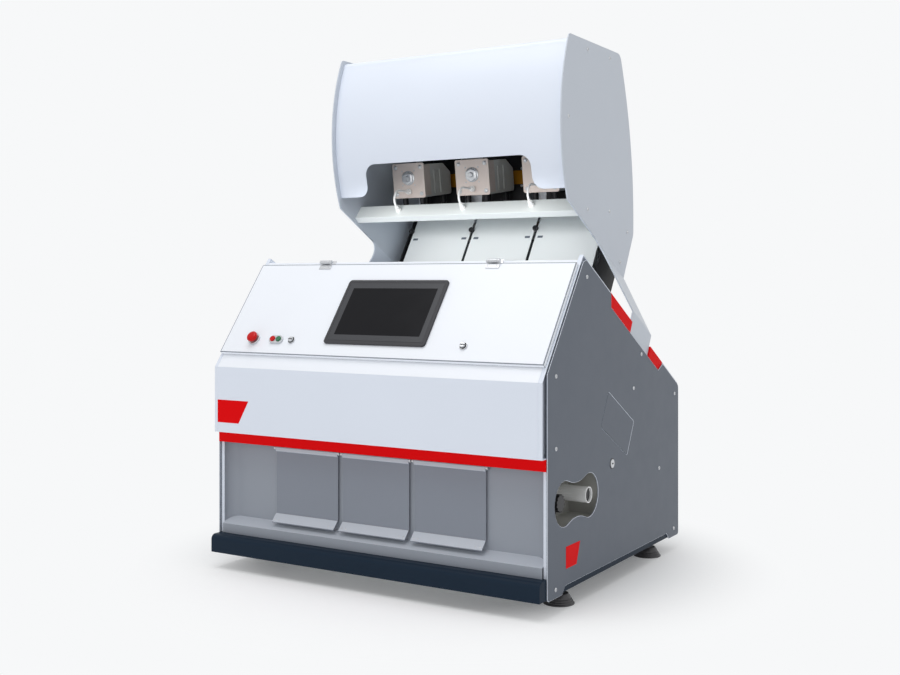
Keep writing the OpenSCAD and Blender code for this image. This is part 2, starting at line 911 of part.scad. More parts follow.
// Depth of the end plates' front or rear arc, set in by g, at height z
function front_at(z, g) =
  let (o = arc_middle(plate_front[0], plate_corner, front_bulge))
  o[0] - sqrt(pow(arc_radius(plate_front[0], plate_corner, front_bulge) - g, 2) - pow(z - o[1], 2));
function rear_at(z, g) =
  let (p = plate_rear[0], q = plate_rear[long_steps], o = arc_middle(p, q, rear_bulge))
  o[0] + sqrt(pow(arc_radius(p, q, rear_bulge) - g, 2) - pow(z - o[1], 2));

// Cover paths from their lower edges up to the bend at the top
bend_z = hopper_top - top_bend;
bend_r = top_bend - top_drop;
function rise(low, k) = low + (bend_z - low) * k / long_steps;
front_bend = front_at(bend_z, cover_inset) + bend_r;
rear_bend = rear_at(bend_z, cover_inset) - bend_r;
front_path = concat(
  [for (k = [0:long_steps]) let (z = rise(cover_z - bend_r, k)) [front_at(z, cover_inset), z]],
  [for (k = [1:arc_steps]) [front_bend, bend_z] + bend_r * [-cos(90 * k / arc_steps), sin(90 * k / arc_steps)]],
  [[front_bend + top_flange, hopper_top - top_drop]]);
rear_path = concat(
  [for (k = [0:long_steps]) let (z = rise(rear_cover_z, k)) [rear_at(z, cover_inset), z]],
  [for (k = [1:arc_steps]) [rear_bend, bend_z] + bend_r * [cos(90 * k / arc_steps), sin(90 * k / arc_steps)]],
  [[rear_bend - top_flange, hopper_top - top_drop]]);

module hopper_front_cover() {
  color(WHITE) machine() difference() {
    across(2 * hopper_in) polygon(folded(front_path, -cover_t));
    translate([0, front_bend + top_flange, 0]) rotate([90, 0, 0]) linear_extrude(far) polygon(rounded([
      [-far, 0, 0], [far, 0, 0], [far, cover_z, 0], [cut_x, cover_z, cut_r], [cut_x, cutout_z, cut_r],
      [-cut_x, cutout_z, cut_r], [-cut_x, cover_z, cut_r], [-far, cover_z, 0]]));
  }
}

module hopper_rear_cover() {
  color(WHITE) machine() across(2 * hopper_in) polygon(folded(rear_path, cover_t));
}

module cover_handles() {
  color(BLACK) machine() both_sides() difference() {
    translate([handle_x, rear_at(handle_z[0], cover_inset) + handle_out, 0]) {
      translate([0, 0, handle_z[0] - handle_d / 2])
        cylinder(d = handle_d, h = handle_z[1] - handle_z[0] + handle_d);
      for (z = handle_z) translate([0, 0, z]) rotate([90, 0, 0]) cylinder(d = handle_d, h = 2 * handle_out);
    }
    across(far) polygon(concat(rear_path, [[0, hopper_top], [0, rear_cover_z]]));
  }
}

module feed_bin() {
  color(STEEL) machine() {
    across(2 * hopper_in) polygon(folded([
      [front_bend, bin_top], [bin_inlet[0], bin_top], [bin_mouth[0], bin_neck_z], [bin_mouth[0], bin_low]], -sheet));
    across(2 * hopper_in) polygon(folded([
      [rear_bend, bin_top], [bin_inlet[1], bin_top], [bin_mouth[1], bin_neck_z], [bin_mouth[1], bin_low]], sheet));
    both_sides() slab(hopper_in - sheet, sheet) polygon([
      [bin_inlet[0], bin_top], [bin_mouth[0], bin_neck_z], [bin_mouth[0], bin_low],
      [bin_mouth[1], bin_low], [bin_mouth[1], bin_neck_z], [bin_inlet[1], bin_top]]);
    for (k = [1:chute_count - 1]) slab((k - chute_count / 2) * chute_pitch - bin_bridge / 2, bin_bridge) polygon([
      [bin_mouth[0], bin_low], [bin_mouth[1], bin_low], [(bin_mouth[0] + bin_mouth[1]) / 2, bin_neck_z]]);
  }
}

module feeder_beam() {
  color(STEEL) machine() across(2 * hopper_in) polygon(folded([
    [beam_top_y, deck_z] - beam_face - beam_lip, [beam_top_y, deck_z] - beam_face, [beam_top_y, deck_z],
    [deck_rear, deck_z], [deck_rear, deck_z - deck_turn]], -beam_t));
}

module feeder_mounts() {
  color(CASTING) machine() for (i = steps) {
    intersection() {
      on_feeder(i) for (x = [-1, 1], y = post_y)
        translate([x * post_x, y, -3 * feeder_lift]) cylinder(d = post_d, h = 3 * feeder_lift);
      translate([-far / 2, 0, deck_z]) cube(far);
    }
    translate([i * chute_pitch - spring_w / 2, bracket_y[0], deck_z])
      cube([spring_w, bracket_y[1] - bracket_y[0], bracket_h]);
  }
}

module feeder_drives() {
  color(CASTING) machine() for (i = steps) on_feeder(i) {
    across(drive_w) polygon(rounded([
      [0, 0, 0], [drive_len, 0, drive_r], [drive_len, 0.7 * drive_h, drive_r], [0.75 * drive_len, drive_h, drive_r],
      [0, drive_h, 0]]));
    for (k = [1:3]) translate([-drive_w / 2 - drive_rib, k * drive_len / 5, drive_r])
      cube([drive_w + 2 * drive_rib, drive_rib, drive_h - 3 * drive_r]);
  }
}

module feeder_face_plates() {
  bolt_x = face_w / 2 - face_bolt_in;
  bolt_z = face_h / 2 - face_bolt_in;
  color(BRASSY) machine() for (i = steps) on_feeder(i) translate([0, 0, face_h / 2]) rotate([90, 0, 0]) {
    linear_extrude(face_t) polygon(plate_outline(face_w, face_h, face_r));
    both_sides() translate([face_w / 2 - face_wall, face_r - face_h / 2, -face_return])
      cube([face_wall, face_h - 2 * face_r, face_return + face_t / 2]);
    translate([0, face_nut_z - face_h / 2, 0]) cylinder(d = face_nut_d, h = face_t + face_nut_h, $fn = 6);
    for (x = [-bolt_x, bolt_x], y = [-bolt_z, bolt_z])
      translate([x, y, 0]) cylinder(d = face_bolt_d, h = face_t + face_bolt_d / 3);
  }
}

// Feeder cable in the side view: out of the face plate, over in one arc and into the beam
beam_normal = unit([-beam_face[1], beam_face[0]]);
gland_seat = [beam_top_y, deck_z] - beam_face / 2;
cable_turn = 90 + atan2(beam_normal[1] * -1, beam_normal[0] * -1) + 90;
cable_out = gland_seat + beam_normal * gland_up;
cable_end = 90 + cable_turn;
cable_mid = cable_out - cable_bend * [cos(cable_end), sin(cable_end)];
cable_z = cable_mid[1] + cable_bend;
face_y = feeder_y - (cable_z - deck_z - feeder_lift) * tan(feeder_tilt) - face_t / cos(feeder_tilt);

module cable_glands() {
  color(WHITE) machine() for (i = steps) {
    difference() {
      translate([i * chute_pitch, face_y - gland_len, cable_z]) rotate([-90, 0, 0]) {
        cylinder(d = gland_d, h = 2 * gland_len);
        translate([0, 0, gland_len - gland_nut_h]) cylinder(d = gland_nut_d, h = 2 * gland_nut_h);
      }
      on_feeder(i) translate([-far / 2, -face_t, -far / 2]) cube(far);
    }
    translate([i * chute_pitch, gland_seat[0], gland_seat[1]])
      rotate([atan2(-beam_normal[0], beam_normal[1]), 0, 0]) {
        cylinder(d = gland_d, h = gland_up);
        cylinder(d = gland_nut_d, h = gland_nut_h);
      }
  }
}

module feeder_cables() {
  color(WHITE) machine() for (i = steps) translate([i * chute_pitch, cable_mid[0], cable_mid[1]]) {
    rotate([90, 0, 90]) rotate([0, 0, 90]) rotate_extrude(angle = cable_turn)
      translate([cable_bend, 0]) circle(d = cable_d);
    translate([0, 0, cable_bend]) rotate([-90, 0, 0]) cylinder(d = cable_d, h = face_y - gland_len - cable_mid[0]);
  }
}

module leaf_springs() {
  low = deck_z + bracket_h;
  color(AMBER) machine() for (i = steps, side = [-1, 1]) {
    translate([i * chute_pitch - spring_w / 2, spring_y + side * spring_gap / 2 - spring_t / 2, low])
      cube([spring_w, spring_t, tray_z - run_gap - low]);
  }
}

// Feed tray at step i: trough open at the back, with ears beside its leaf springs
module feed_tray(i) {
  ear_y = [bracket_y[0], bracket_y[1]];
  color(STEEL) machine() translate([i * chute_pitch, 0, tray_z]) {
    difference() {
      translate([-tray_w / 2, tray_y[0], 0]) cube([tray_w, tray_y[1] - tray_y[0], tray_h]);
      translate([-tray_w / 2 + tray_t, tray_y[0] + tray_t, tray_t]) cube([tray_w - 2 * tray_t, far, far]);
    }
    both_sides() translate([spring_w / 2 + run_gap, ear_y[0], -ear_h])
      cube([ear_t, ear_y[1] - ear_y[0], ear_h + tray_t / 2]);
  }
}

module feed_tray_left() {
  feed_tray(-1);
}

module feed_tray_middle() {
  feed_tray(0);
}

module feed_tray_right() {
  feed_tray(1);
}

// Square cross tube on the chutes' slope, at t, with its half length and grown by g
module cross_tube(t, half, g) {
  translate([-half, t - g, -tube_d - tube_w - g]) cube([2 * half, tube_w + 2 * g, tube_w + 2 * g]);
}

module chute_frame() {
  color(BLACK) machine() on_chute() {
    both_sides() difference() {
      translate([chute_half, 0, 0]) rotate([0, 90, 0]) linear_extrude(frame_side) polygon([
        [0, frame_low], [frame_d, frame_low], [frame_d, frame_back], [frame_cut, frame_top], [0, frame_top]]);
      cross_tube(tube_low, far, part_gap);
      cross_tube(tube_high, far, part_gap);
    }
    cross_tube(tube_low, web_x, 0);
    cross_tube(tube_high, hopper_in, 0);
    for (k = [1:chute_count - 1])
      translate([(k - chute_count / 2) * chute_pitch - bar_w / 2, frame_low, part_gap - tube_d])
        cube([bar_w, bar_top - frame_low, tube_d - cover_sheet - 2 * part_gap]);
  }
}

module chutes() {
  half = chute_pitch / 2 - bar_w / 2 - over;
  color(CHUTE) machine() on_chute() for (i = steps) translate([i * chute_pitch, 0, -tube_d]) difference() {
    translate([-half, chute_end, 0]) cube([2 * half, chute_top - chute_end, channel_h]);
    translate([sheet - half, chute_end - over, sheet])
      cube([2 * (half - sheet), chute_top - chute_end + 2 * over, channel_h]);
  }
}

module chute_covers() {
  half = chute_pitch / 2 - bar_w / 2 + 2 * over;
  color(CHUTE) machine() on_chute() for (i = steps) translate([i * chute_pitch, 0, -cover_sheet]) difference() {
    translate([-half, cover_low, 0]) cube([2 * half, cover_top - cover_low, cover_sheet]);
    for (side = [-1, 1])
      translate([side * (half - slot_w) - slot_w / 2, slot_t, -over]) cube([slot_w, slot_h, cover_sheet + 2 * over]);
  }
}

module chute_knobs() {
  color(BLACK) machine() on_chute() for (k = [0:chute_count]) {
    translate([(k - chute_count / 2) * chute_pitch, knob_t, 0]) {
      cylinder(d = chute_knob_d, h = chute_knob_h);
      translate([0, 0, -tube_d]) cylinder(d = chute_stud_d, h = tube_d);
    }
  }
}

// Camera housing on one side of the falling stream, with its window slot
module camera_box(side) {
  t = box_t[0];
  len = box_t[1] - box_t[0];
  deep = box_far - box_near;
  mid = t + len / 2;
  difference() {
    translate([-web_x, t, side > 0 ? box_near : -box_far]) cube([2 * web_x, len, deep]);
    translate([-far, t + sheet, (side > 0 ? box_near : -box_far) + sheet])
      cube([2 * far, len - 2 * sheet, deep - 2 * sheet]);
    translate([-window_w / 2, mid - window_h / 2, side > 0 ? box_near - over : -box_near - sheet - over])
      cube([window_w, window_h, sheet + 2 * over]);
  }
}

module camera_boxes() {
  color(WALL) machine() on_chute() {
    camera_box(1);
    camera_box(-1);
  }
}

module viewing_windows() {
  wide = window_w + 2 * glass_rim;
  high = window_h + 2 * glass_rim;
  mid = (box_t[0] + box_t[1]) / 2;
  color(GLASS) machine() on_chute() for (z = [box_near + sheet, -box_near - sheet - glass_plate])
    translate([-wide / 2, mid - high / 2, z]) cube([wide, high, glass_plate]);
}

module ejector_manifold() {
  pitch = chute_count * chute_pitch / valve_n;
  color(SILVER) machine() on_chute() {
    translate([-web_x, ejector_t[0], -ejector_d[1]])
      cube([2 * web_x, ejector_t[1] - ejector_t[0], ejector_d[1] - ejector_d[0]]);
    for (k = [0:valve_n - 1])
      translate([(k - (valve_n - 1) / 2) * pitch - valve_w / 2, ejector_t[0] + valve_w / 2, -ejector_d[1] - valve_h])
        cube([valve_w, 2 * valve_w, valve_h + over]);
  }
}

module outlet_ducts() {
  color(STEEL) machine() {
    across(2 * duct_half) polygon(folded([
      [recess_d + sheet, flap_z + duct_lift], duct_knee, duct_lip], -sheet));
    across(2 * web_x) polygon(folded([[reject_y[0], plinth_top + sheet], reject_front], sheet));
    across(2 * web_x) polygon(folded([[reject_y[1], plinth_top + sheet], reject_rear], sheet));
  }
}

module electrical_box() {
  back = base_d - sheet;
  color(SILVER) machine() difference() {
    translate([-electric_w / 2, back - electric_d, plinth_top]) cube([electric_w, electric_d, electric_h]);
    translate([-electric_w / 2 + sheet, back - electric_d + sheet, plinth_top + sheet])
      cube([electric_w - 2 * sheet, electric_d, electric_h - 2 * sheet]);
  }
}

// Places of the buttons and locks on the door
module at_estop() {
  translate([estop_x, button_mid, face_m]) children();
}

module at_key(side) {
  translate([pair_x + side * key_pitch / 2, button_mid, face_m]) children();
}

module at_lock(side) {
  translate([side * lock_x, button_mid, face_m]) children();
}

module control_door() {
  color(WHITE) machine() on_door() difference() {
    translate([-door_w / 2, door_s, door_m]) cube([door_w, door_len, door_t]);
    translate([sheet - door_w / 2, door_s + sheet, door_m - over])
      cube([door_w - 2 * sheet, door_len - 2 * sheet, door_t - door_skin + over]);
    translate([-screen_body_w / 2 - part_gap, screen_mid - screen_body_h / 2 - part_gap, 0])
      cube([screen_body_w + 2 * part_gap, screen_body_h + 2 * part_gap, far]);
    at_estop() translate([0, 0, -door_t]) cylinder(d = stem_d + 2 * run_gap, h = 2 * door_t);
    for (side = [-1, 1]) at_lock(side) translate([0, 0, -door_t])
      cylinder(d = barrel_d + 2 * run_gap, h = 2 * door_t);
  }
}

module door_hinge_leaves() {
  wide = knuckle_w + 2 * (run_gap + ear_w);
  color(STEEL) machine() on_door() for (side = [-1, 1]) translate([side * hinge_x - wide / 2, hinge_s, hinge_m]) {
    bar_x(0, wide, pin_d);
    for (x = [0, wide - ear_w]) {
      bar_x(x, ear_w, 2 * knuckle_r);
      translate([x, -knuckle_r, face_m - hinge_m]) cube([ear_w, knuckle_r, hinge_m - face_m]);
    }
    translate([0, -leaf_len, face_m - hinge_m]) cube([wide, leaf_len - knuckle_r - over, leaf_t]);
    for (x = [0, wide - ear_w])
      translate([x, -leaf_len, face_m - hinge_m]) cube([ear_w, leaf_len, leaf_t]);
  }
}

module screen_bezel() {
  color(BEZEL) machine() on_door() translate([0, screen_mid, face_m]) difference() {
    union() {
      linear_extrude(bezel_out) polygon(plate_outline(bezel_w, bezel_h, bezel_r));
      translate([-screen_body_w / 2, -screen_body_h / 2, -screen_depth])
        cube([screen_body_w, screen_body_h, screen_depth + over]);
    }
    translate([0, 0, bezel_out - glass_t]) linear_extrude(far) polygon(plate_outline(glass_w, glass_h, lock_ring));
  }
}

module screen_glass() {
  color(GLASS) machine() on_door() translate([0, screen_mid, face_m + bezel_out - glass_t]) linear_extrude(glass_t)
    polygon(plate_outline(glass_w - 2 * part_gap, glass_h - 2 * part_gap, lock_ring - part_gap));
}

module control_fittings() {
  color(LIP) machine() on_door() {
    at_estop() difference() {
      cylinder(d = collar_d, h = collar_h);
      translate([0, 0, -over]) cylinder(d = stem_d + 2 * run_gap, h = collar_h + 2 * over);
    }
    translate([pair_x, button_mid, face_m]) difference() {
      linear_extrude(pair_out) polygon(plate_outline(pair_w, pair_h, pair_h / 2 - over));
      for (side = [-1, 1]) translate([side * key_pitch / 2, 0, -over])
        cylinder(d = key_d + 2 * run_gap, h = pair_out + 2 * over);
    }
    for (side = [-1, 1]) at_lock(side) difference() {
      cylinder(d = lock_d, h = lock_ring);
      translate([0, 0, -over]) cylinder(d = barrel_d + 2 * run_gap, h = lock_ring + 2 * over);
    }
  }
}

module estop_button() {
  head = collar_h + estop_travel + run_gap;
  r = estop_d / 2;
  color(RED) machine() on_door() at_estop() rotate_extrude() polygon([
    [0, -stem_in], [stem_d / 2, -stem_in], [stem_d / 2, head], [r - over, head], [r, head + estop_h / 4],
    [r, head + estop_h / 2], [0.9 * r, head + 0.75 * estop_h], [0.6 * r, head + 0.95 * estop_h],
    [0, head + estop_h]]);
}

// Round push button of the pair, on one side
module key(side) {
  machine() on_door() at_key(side) translate([0, 0, key_travel + run_gap])
    cylinder(d = key_d, h = pair_out + key_out - key_travel - run_gap);
}

module start_button() {
  color(GREEN) key(1);
}

module stop_button() {
  color(RED) key(-1);
}

// Quarter-turn lock with its slot and inner tongue
module door_lock(side) {
  color(STEEL) machine() on_door() at_lock(side) {
    difference() {
      translate([0, 0, -barrel_in]) cylinder(d = barrel_d, h = barrel_in + lock_ring + barrel_out);
      translate([-barrel_d, -tongue_t / 2, lock_ring + barrel_out - tongue_t])
        cube([2 * barrel_d, tongue_t, 2 * tongue_t]);
    }
    translate([-barrel_d / 3, 0, -barrel_in - tongue_t]) cube([2 * barrel_d / 3, tongue, tongue_t + over / 2]);
  }
}

module door_lock_left() {
  door_lock(-1);
}

module door_lock_right() {
  door_lock(1);
}

plinth_frame();
foot_pads();
foot_studs();
side_frame_right();
side_frame_left();
side_panel_right();
side_panel_left();
panel_screws();
red_trims();
front_panel();
outlet_front();
rear_panel();
slope_cover();
top_rail();
door_hinge_brackets();
flap_hinge_rails();
service_recess();
air_inlet_pipe();
filter_regulator();
regulator_knob();
side_hatch();
panel_lock();
hopper_plate_right();
hopper_plate_left();
hopper_front_cover();
hopper_rear_cover();
cover_handles();
feed_bin();
feeder_beam();
feeder_mounts();
feeder_drives();
feeder_face_plates();
cable_glands();
feeder_cables();
leaf_springs();
chute_frame();
chutes();
chute_covers();
chute_knobs();
camera_boxes();
viewing_windows();
ejector_manifold();
outlet_ducts();
electrical_box();
control_door();
door_hinge_leaves();
screen_bezel();
screen_glass();
control_fittings();
estop_button();
start_button();
stop_button();
door_lock_left();
door_lock_right();
outlet_flap_left();
outlet_flap_middle();
outlet_flap_right();
feed_tray_left();
feed_tray_middle();
feed_tray_right();
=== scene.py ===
"""Dresses the optical colour sorter: paint, bare metal, screws, screen, cables and a pale studio."""

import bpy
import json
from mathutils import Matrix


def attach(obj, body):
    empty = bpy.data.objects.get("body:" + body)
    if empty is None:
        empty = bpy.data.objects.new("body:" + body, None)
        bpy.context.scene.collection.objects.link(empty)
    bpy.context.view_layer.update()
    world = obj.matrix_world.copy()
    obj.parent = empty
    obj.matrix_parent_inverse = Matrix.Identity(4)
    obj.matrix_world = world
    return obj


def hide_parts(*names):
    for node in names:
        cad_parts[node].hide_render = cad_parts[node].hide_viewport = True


bl_info = {
    "name": "Optical Colour Sorter",
    "version": (1, 0, 0),
    "blender": (4, 5, 0),
    "location": "View3D > Sidebar > Sorter",
    "description": "Finishes and small parts of a three-chute optical colour sorter",
    "category": "Object",
}

import json
import math

import bmesh
import bpy
from bpy.props import FloatProperty, FloatVectorProperty, PointerProperty
from mathutils import Vector

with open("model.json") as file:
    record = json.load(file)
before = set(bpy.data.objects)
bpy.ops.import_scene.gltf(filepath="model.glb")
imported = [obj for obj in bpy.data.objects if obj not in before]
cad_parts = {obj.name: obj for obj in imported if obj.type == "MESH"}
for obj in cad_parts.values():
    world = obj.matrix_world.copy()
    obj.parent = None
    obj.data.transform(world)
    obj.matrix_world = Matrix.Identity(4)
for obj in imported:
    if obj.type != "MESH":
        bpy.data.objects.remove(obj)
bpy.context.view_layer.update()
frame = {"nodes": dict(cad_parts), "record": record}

MM = 0.001
DRESSED = "dressed_"
SIDES = ("left", "middle", "right")

# Angles past which an edge is drawn sharp, gets rounded, or parts two flat faces
SHARP = math.radians(35)
EDGE_LIMIT = math.radians(30)
FLAT_LIMIT = math.radians(0.4)

# Distances within which two points of a new piece, or of a CAD node, are one
SAME_POINT = 1e-6
WELDED = 1e-5

# Upward share of a face's normal past which the face counts as a top; on some nodes such tops get a paler
# paint as painted light
UPWARD = 0.3

# Places in the cabinet's own millimetres: Y counts back from the side panels' front edge
MID_Y = 538.5
DOOR_TILT = math.radians(53.156)
CHUTE_TILT = math.radians(57.0)
FEEDER_TILT = math.radians(8.0)
LIP_TILT = math.radians(47.0)
DOOR_OUT = Vector((0, -math.sin(DOOR_TILT), math.cos(DOOR_TILT)))
DOOR_UP = Vector((0, math.cos(DOOR_TILT), math.sin(DOOR_TILT)))
CHUTE_OUT = Vector((0, -math.sin(CHUTE_TILT), math.cos(CHUTE_TILT)))
CHUTE_UP = Vector((0, math.cos(CHUTE_TILT), math.sin(CHUTE_TILT)))
FACE_OUT = Vector((0, -math.cos(FEEDER_TILT), -math.sin(FEEDER_TILT)))
FACE_UP = Vector((0, -math.sin(FEEDER_TILT), math.cos(FEEDER_TILT)))
LIP_OUT = Vector((0, -math.sin(LIP_TILT), math.cos(LIP_TILT)))
LIP_UP = Vector((0, math.cos(LIP_TILT), math.sin(LIP_TILT)))
RIGHT = Vector((1, 0, 0))
BACK = Vector((0, 1, 0))
UP = Vector((0, 0, 1))


def at(x, y, z):
    """A place in the cabinet's millimetres, in the frame's metres."""
    return Vector((x, y - MID_Y, z)) * MM


def paint(red, green, blue):
    """Screen colour values 0 to 255 as the linear values that shaders use."""
    def linear(v):
        v /= 255
        return v / 12.92 if v <= 0.04045 else ((v + 0.055) / 1.055) ** 2.4
    return tuple(linear(v) for v in (red, green, blue))


def colour(label, words, value):
    """A colour property with its default."""
    return FloatVectorProperty(name=label, description=words, subtype="COLOR", size=3, min=0, max=1,
                               default=paint(*value))


def number(label, words, value, **kind):
    """A number property with its default."""
    return FloatProperty(name=label, description=words, default=value, **kind)


def length(label, words, value):
    """A length property, given in millimetres."""
    return number(label, words, value * MM, unit="LENGTH")


class SorterPaints(bpy.types.PropertyGroup):
    """Colours of the finishes"""
    white: colour("White", "Door, hopper's rear cover and top rail", (243, 247, 254))
    light: colour("Light grey", "Cabinet front, side frames and hopper's front cover", (226, 233, 245))
    silver: colour("Silver grey", "Hopper end plates, rear panel and flap trim", (196, 203, 213))
    dark: colour("Dark grey", "Side panels", (96, 103, 114))
    wall: colour("Wall grey", "Outlet recess and camera boxes", (152, 158, 168))
    navy: colour("Navy", "Plinth", (28, 42, 57))
    red: colour("Red", "Trim bars, strips and fields", (228, 5, 11))
    black: colour("Black", "Chute frame, knobs and grips", (30, 30, 33))
    bright: colour("Bright steel", "Screws, locks and hinges", (204, 206, 209))
    feeder: colour("Feeder steel", "Beam, bin, trays and ducts", (224, 229, 228))
    chute: colour("Chute sheet", "Chutes and their covers", (226, 229, 229))
    face: colour("Face plate", "Plates in front of the feeder drives", (213, 201, 194))
    # Castings painted paler than their own colour to make up for the hopper's shade over the drives: painted
    # light
    cast: colour("Casting", "Feeder drives", (208, 208, 205))
    amber: colour("Amber laminate", "Leaf springs", (168, 112, 10))
    rubber: colour("Rubber", "Foot pads and door seal", (66, 65, 68))
    button: colour("Button", "Red buttons", (196, 4, 6))
    flap: colour("Flap", "Outlet flaps", (136, 142, 153))
    lining: colour("Lining", "Inside of the service pocket", (176, 176, 172))
    pipe: colour("Pipe", "Air pipe in the service pocket", (250, 251, 251))
    bezel: colour("Bezel", "Frame of the screen", (54, 54, 58))
    cable: colour("White plastic", "Cables and glands", (248, 248, 247))
    go: colour("Green", "Start button", (24, 108, 66))
    border: colour("Screen border", "Glass round the picture", (62, 63, 67))
    screen: colour("Screen", "Switched-off picture", (17, 17, 21))
    glass: colour("Glass", "Viewing windows", (225, 235, 238))
    floor: colour("Floor", "Floor and backdrop", (247, 248, 249))


class SorterSizes(bpy.types.PropertyGroup):
    """Sizes of the small parts"""
    edge: length("Edge", "Softened edge of folded sheet", 0.9)
    rim: length("Rim", "Softened edge of the side panels and the door", 1.1)
    screw: length("Screw head", "Diameter of the panel screws' heads", 13.3)
    bolt: length("Bolt head", "Diameter of the feeder bolts' heads", 11)
    nut: length("Nut", "Width of the nut in the middle of a face plate", 44)
    small_screw: length("Small screw", "Diameter of the smallest screws' heads", 6)
    knob: length("Knob", "Diameter of the chute covers' hand knobs", 20)
    cable: length("Cable", "Diameter of the feeder cables", 8.5)
    seal: length("Seal", "Width of the door's rubber seal", 12)
    picture_wide: length("Picture width", "Width of the screen's picture", 344)
    picture_high: length("Picture height", "Height of the screen's picture", 194)


class SorterStage(bpy.types.PropertyGroup):
    """Camera and light"""
    turn: number("Turn", "Camera's turn round the object", math.radians(31.3), subtype="ANGLE")
    lens: number("Lens", "Focal length in millimetres", 46.44)
    rise: number("Rise", "Vertical shift of the frame", -0.0628)
    eye: FloatVectorProperty(name="Eye", description="Place of the camera", subtype="XYZ", unit="LENGTH",
                             default=(2.213, -3.6635, 1.018))
    key: number("Key", "Power of the key light in watts", 27)
    top: number("Top", "Power of the top light in watts", 92)
    fill: number("Fill", "Power of the side fill in watts", 13)
    inner: number("Inner", "Power of the light under the hopper in watts", 0.68)
    sky: number("Sky", "Strength of the even light", 0.42)
    lift: number("Lift", "Floor's own glow, which keeps shadows pale", 0.15)


def paints():
    """The scene's colours."""
    return bpy.context.scene.sorter_paints


def sizes():
    """The scene's sizes."""
    return bpy.context.scene.sorter_sizes


# Nodes, and shader groups shared by the finishes

def tune(made, **values):
    """Sets properties and named inputs of a node."""
    for key, value in values.items():
        if hasattr(made, key):
            setattr(made, key, value)
        else:
            made.inputs[key.replace("_", " ")].default_value = value


def node(tree, kind, place, **values):
    """A node in a tree, with its properties and its named inputs set."""
    made = tree.nodes.new(kind)
    made.location = place
    tune(made, **values)
    return made


def shader_group(name, inputs, outputs):
    """An empty shader group with its sockets, and its input and output nodes."""
    tree = bpy.data.node_groups.new(name, "ShaderNodeTree")
    for label, kind, value in inputs:
        socket = tree.interface.new_socket(label, in_out="INPUT", socket_type=kind)
        socket.default_value = value
    for label, kind in outputs:
        tree.interface.new_socket(label, in_out="OUTPUT", socket_type=kind)
    return tree, node(tree, "NodeGroupInput", (-900, 0)), node(tree, "NodeGroupOutput", (700, 0))


def peel_group():
    """Fine ripple of sprayed paint or moulded plastic, as a normal."""
    tree, inn, out = shader_group(
        "fine_ripple",
        [("Scale", "NodeSocketFloat", 500.0), ("Depth", "NodeSocketFloat", 0.1)],
        [("Normal", "NodeSocketVector")])
    coords = node(tree, "ShaderNodeTexCoord", (-700, 0))
    noise = node(tree, "ShaderNodeTexNoise", (-450, 0), Detail=2.0, Roughness=0.45)
    bump = node(tree, "ShaderNodeBump", (100, 0), Distance=0.0004)
    link = tree.links.new
    link(coords.outputs["Object"], noise.inputs["Vector"])
    link(inn.outputs["Scale"], noise.inputs["Scale"])
    link(noise.outputs["Fac"], bump.inputs["Height"])
    link(inn.outputs["Depth"], bump.inputs["Strength"])
    link(bump.outputs["Normal"], out.inputs["Normal"])
    return tree


def uneven_gloss(tree, noise, inn, out, reach):
    """Roughness about a group's own gloss, moved up and down by a noise."""
    spread = node(tree, "ShaderNodeMapRange", (-240, -250), To_Min=-reach, To_Max=reach)
    rough = node(tree, "ShaderNodeMath", (160, -250), operation="ADD")
    link = tree.links.new
    link(noise.outputs["Fac"], spread.inputs["Value"])
    link(spread.outputs["Result"], rough.inputs[0])
    link(inn.outputs["Gloss"], rough.inputs[1])
    link(rough.outputs[0], out.inputs["Roughness"])


def tone_group():
    """Slow drift of tone and uneven gloss over a sheet."""
    tree, inn, out = shader_group(
        "sheet_tone",
        [("Color", "NodeSocketColor", (1, 1, 1, 1)), ("Drift", "NodeSocketFloat", 0.03),
         ("Gloss", "NodeSocketFloat", 0.4)],
        [("Color", "NodeSocketColor"), ("Roughness", "NodeSocketFloat")])
    coords = node(tree, "ShaderNodeTexCoord", (-900, -250))
    slow = node(tree, "ShaderNodeTexNoise", (-650, 100), Scale=2.3, Detail=3.0)
    smear = node(tree, "ShaderNodeTexNoise", (-650, -250), Scale=14.0, Detail=4.0, Roughness=0.6)
    centred = node(tree, "ShaderNodeMath", (-420, 100), operation="SUBTRACT")
    centred.inputs[1].default_value = 0.5
    scaled = node(tree, "ShaderNodeMath", (-240, 100), operation="MULTIPLY")
    level = node(tree, "ShaderNodeMath", (-60, 100), operation="ADD")
    level.inputs[1].default_value = 1.0
    tint = node(tree, "ShaderNodeMix", (160, 100), data_type="RGBA", blend_type="MULTIPLY", Factor=1.0)
    grey = node(tree, "ShaderNodeCombineColor", (0, -60))
    link = tree.links.new
    link(coords.outputs["Object"], slow.inputs["Vector"])
    link(coords.outputs["Object"], smear.inputs["Vector"])
    link(slow.outputs["Fac"], centred.inputs[0])
    link(centred.outputs[0], scaled.inputs[0])
    link(inn.outputs["Drift"], scaled.inputs[1])
    link(scaled.outputs[0], level.inputs[0])
    for channel in ("Red", "Green", "Blue"):
        link(level.outputs[0], grey.inputs[channel])
    link(inn.outputs["Color"], tint.inputs[6])
    link(grey.outputs["Color"], tint.inputs[7])
    link(tint.outputs[2], out.inputs["Color"])
    uneven_gloss(tree, smear, inn, out, 0.07)
    return tree


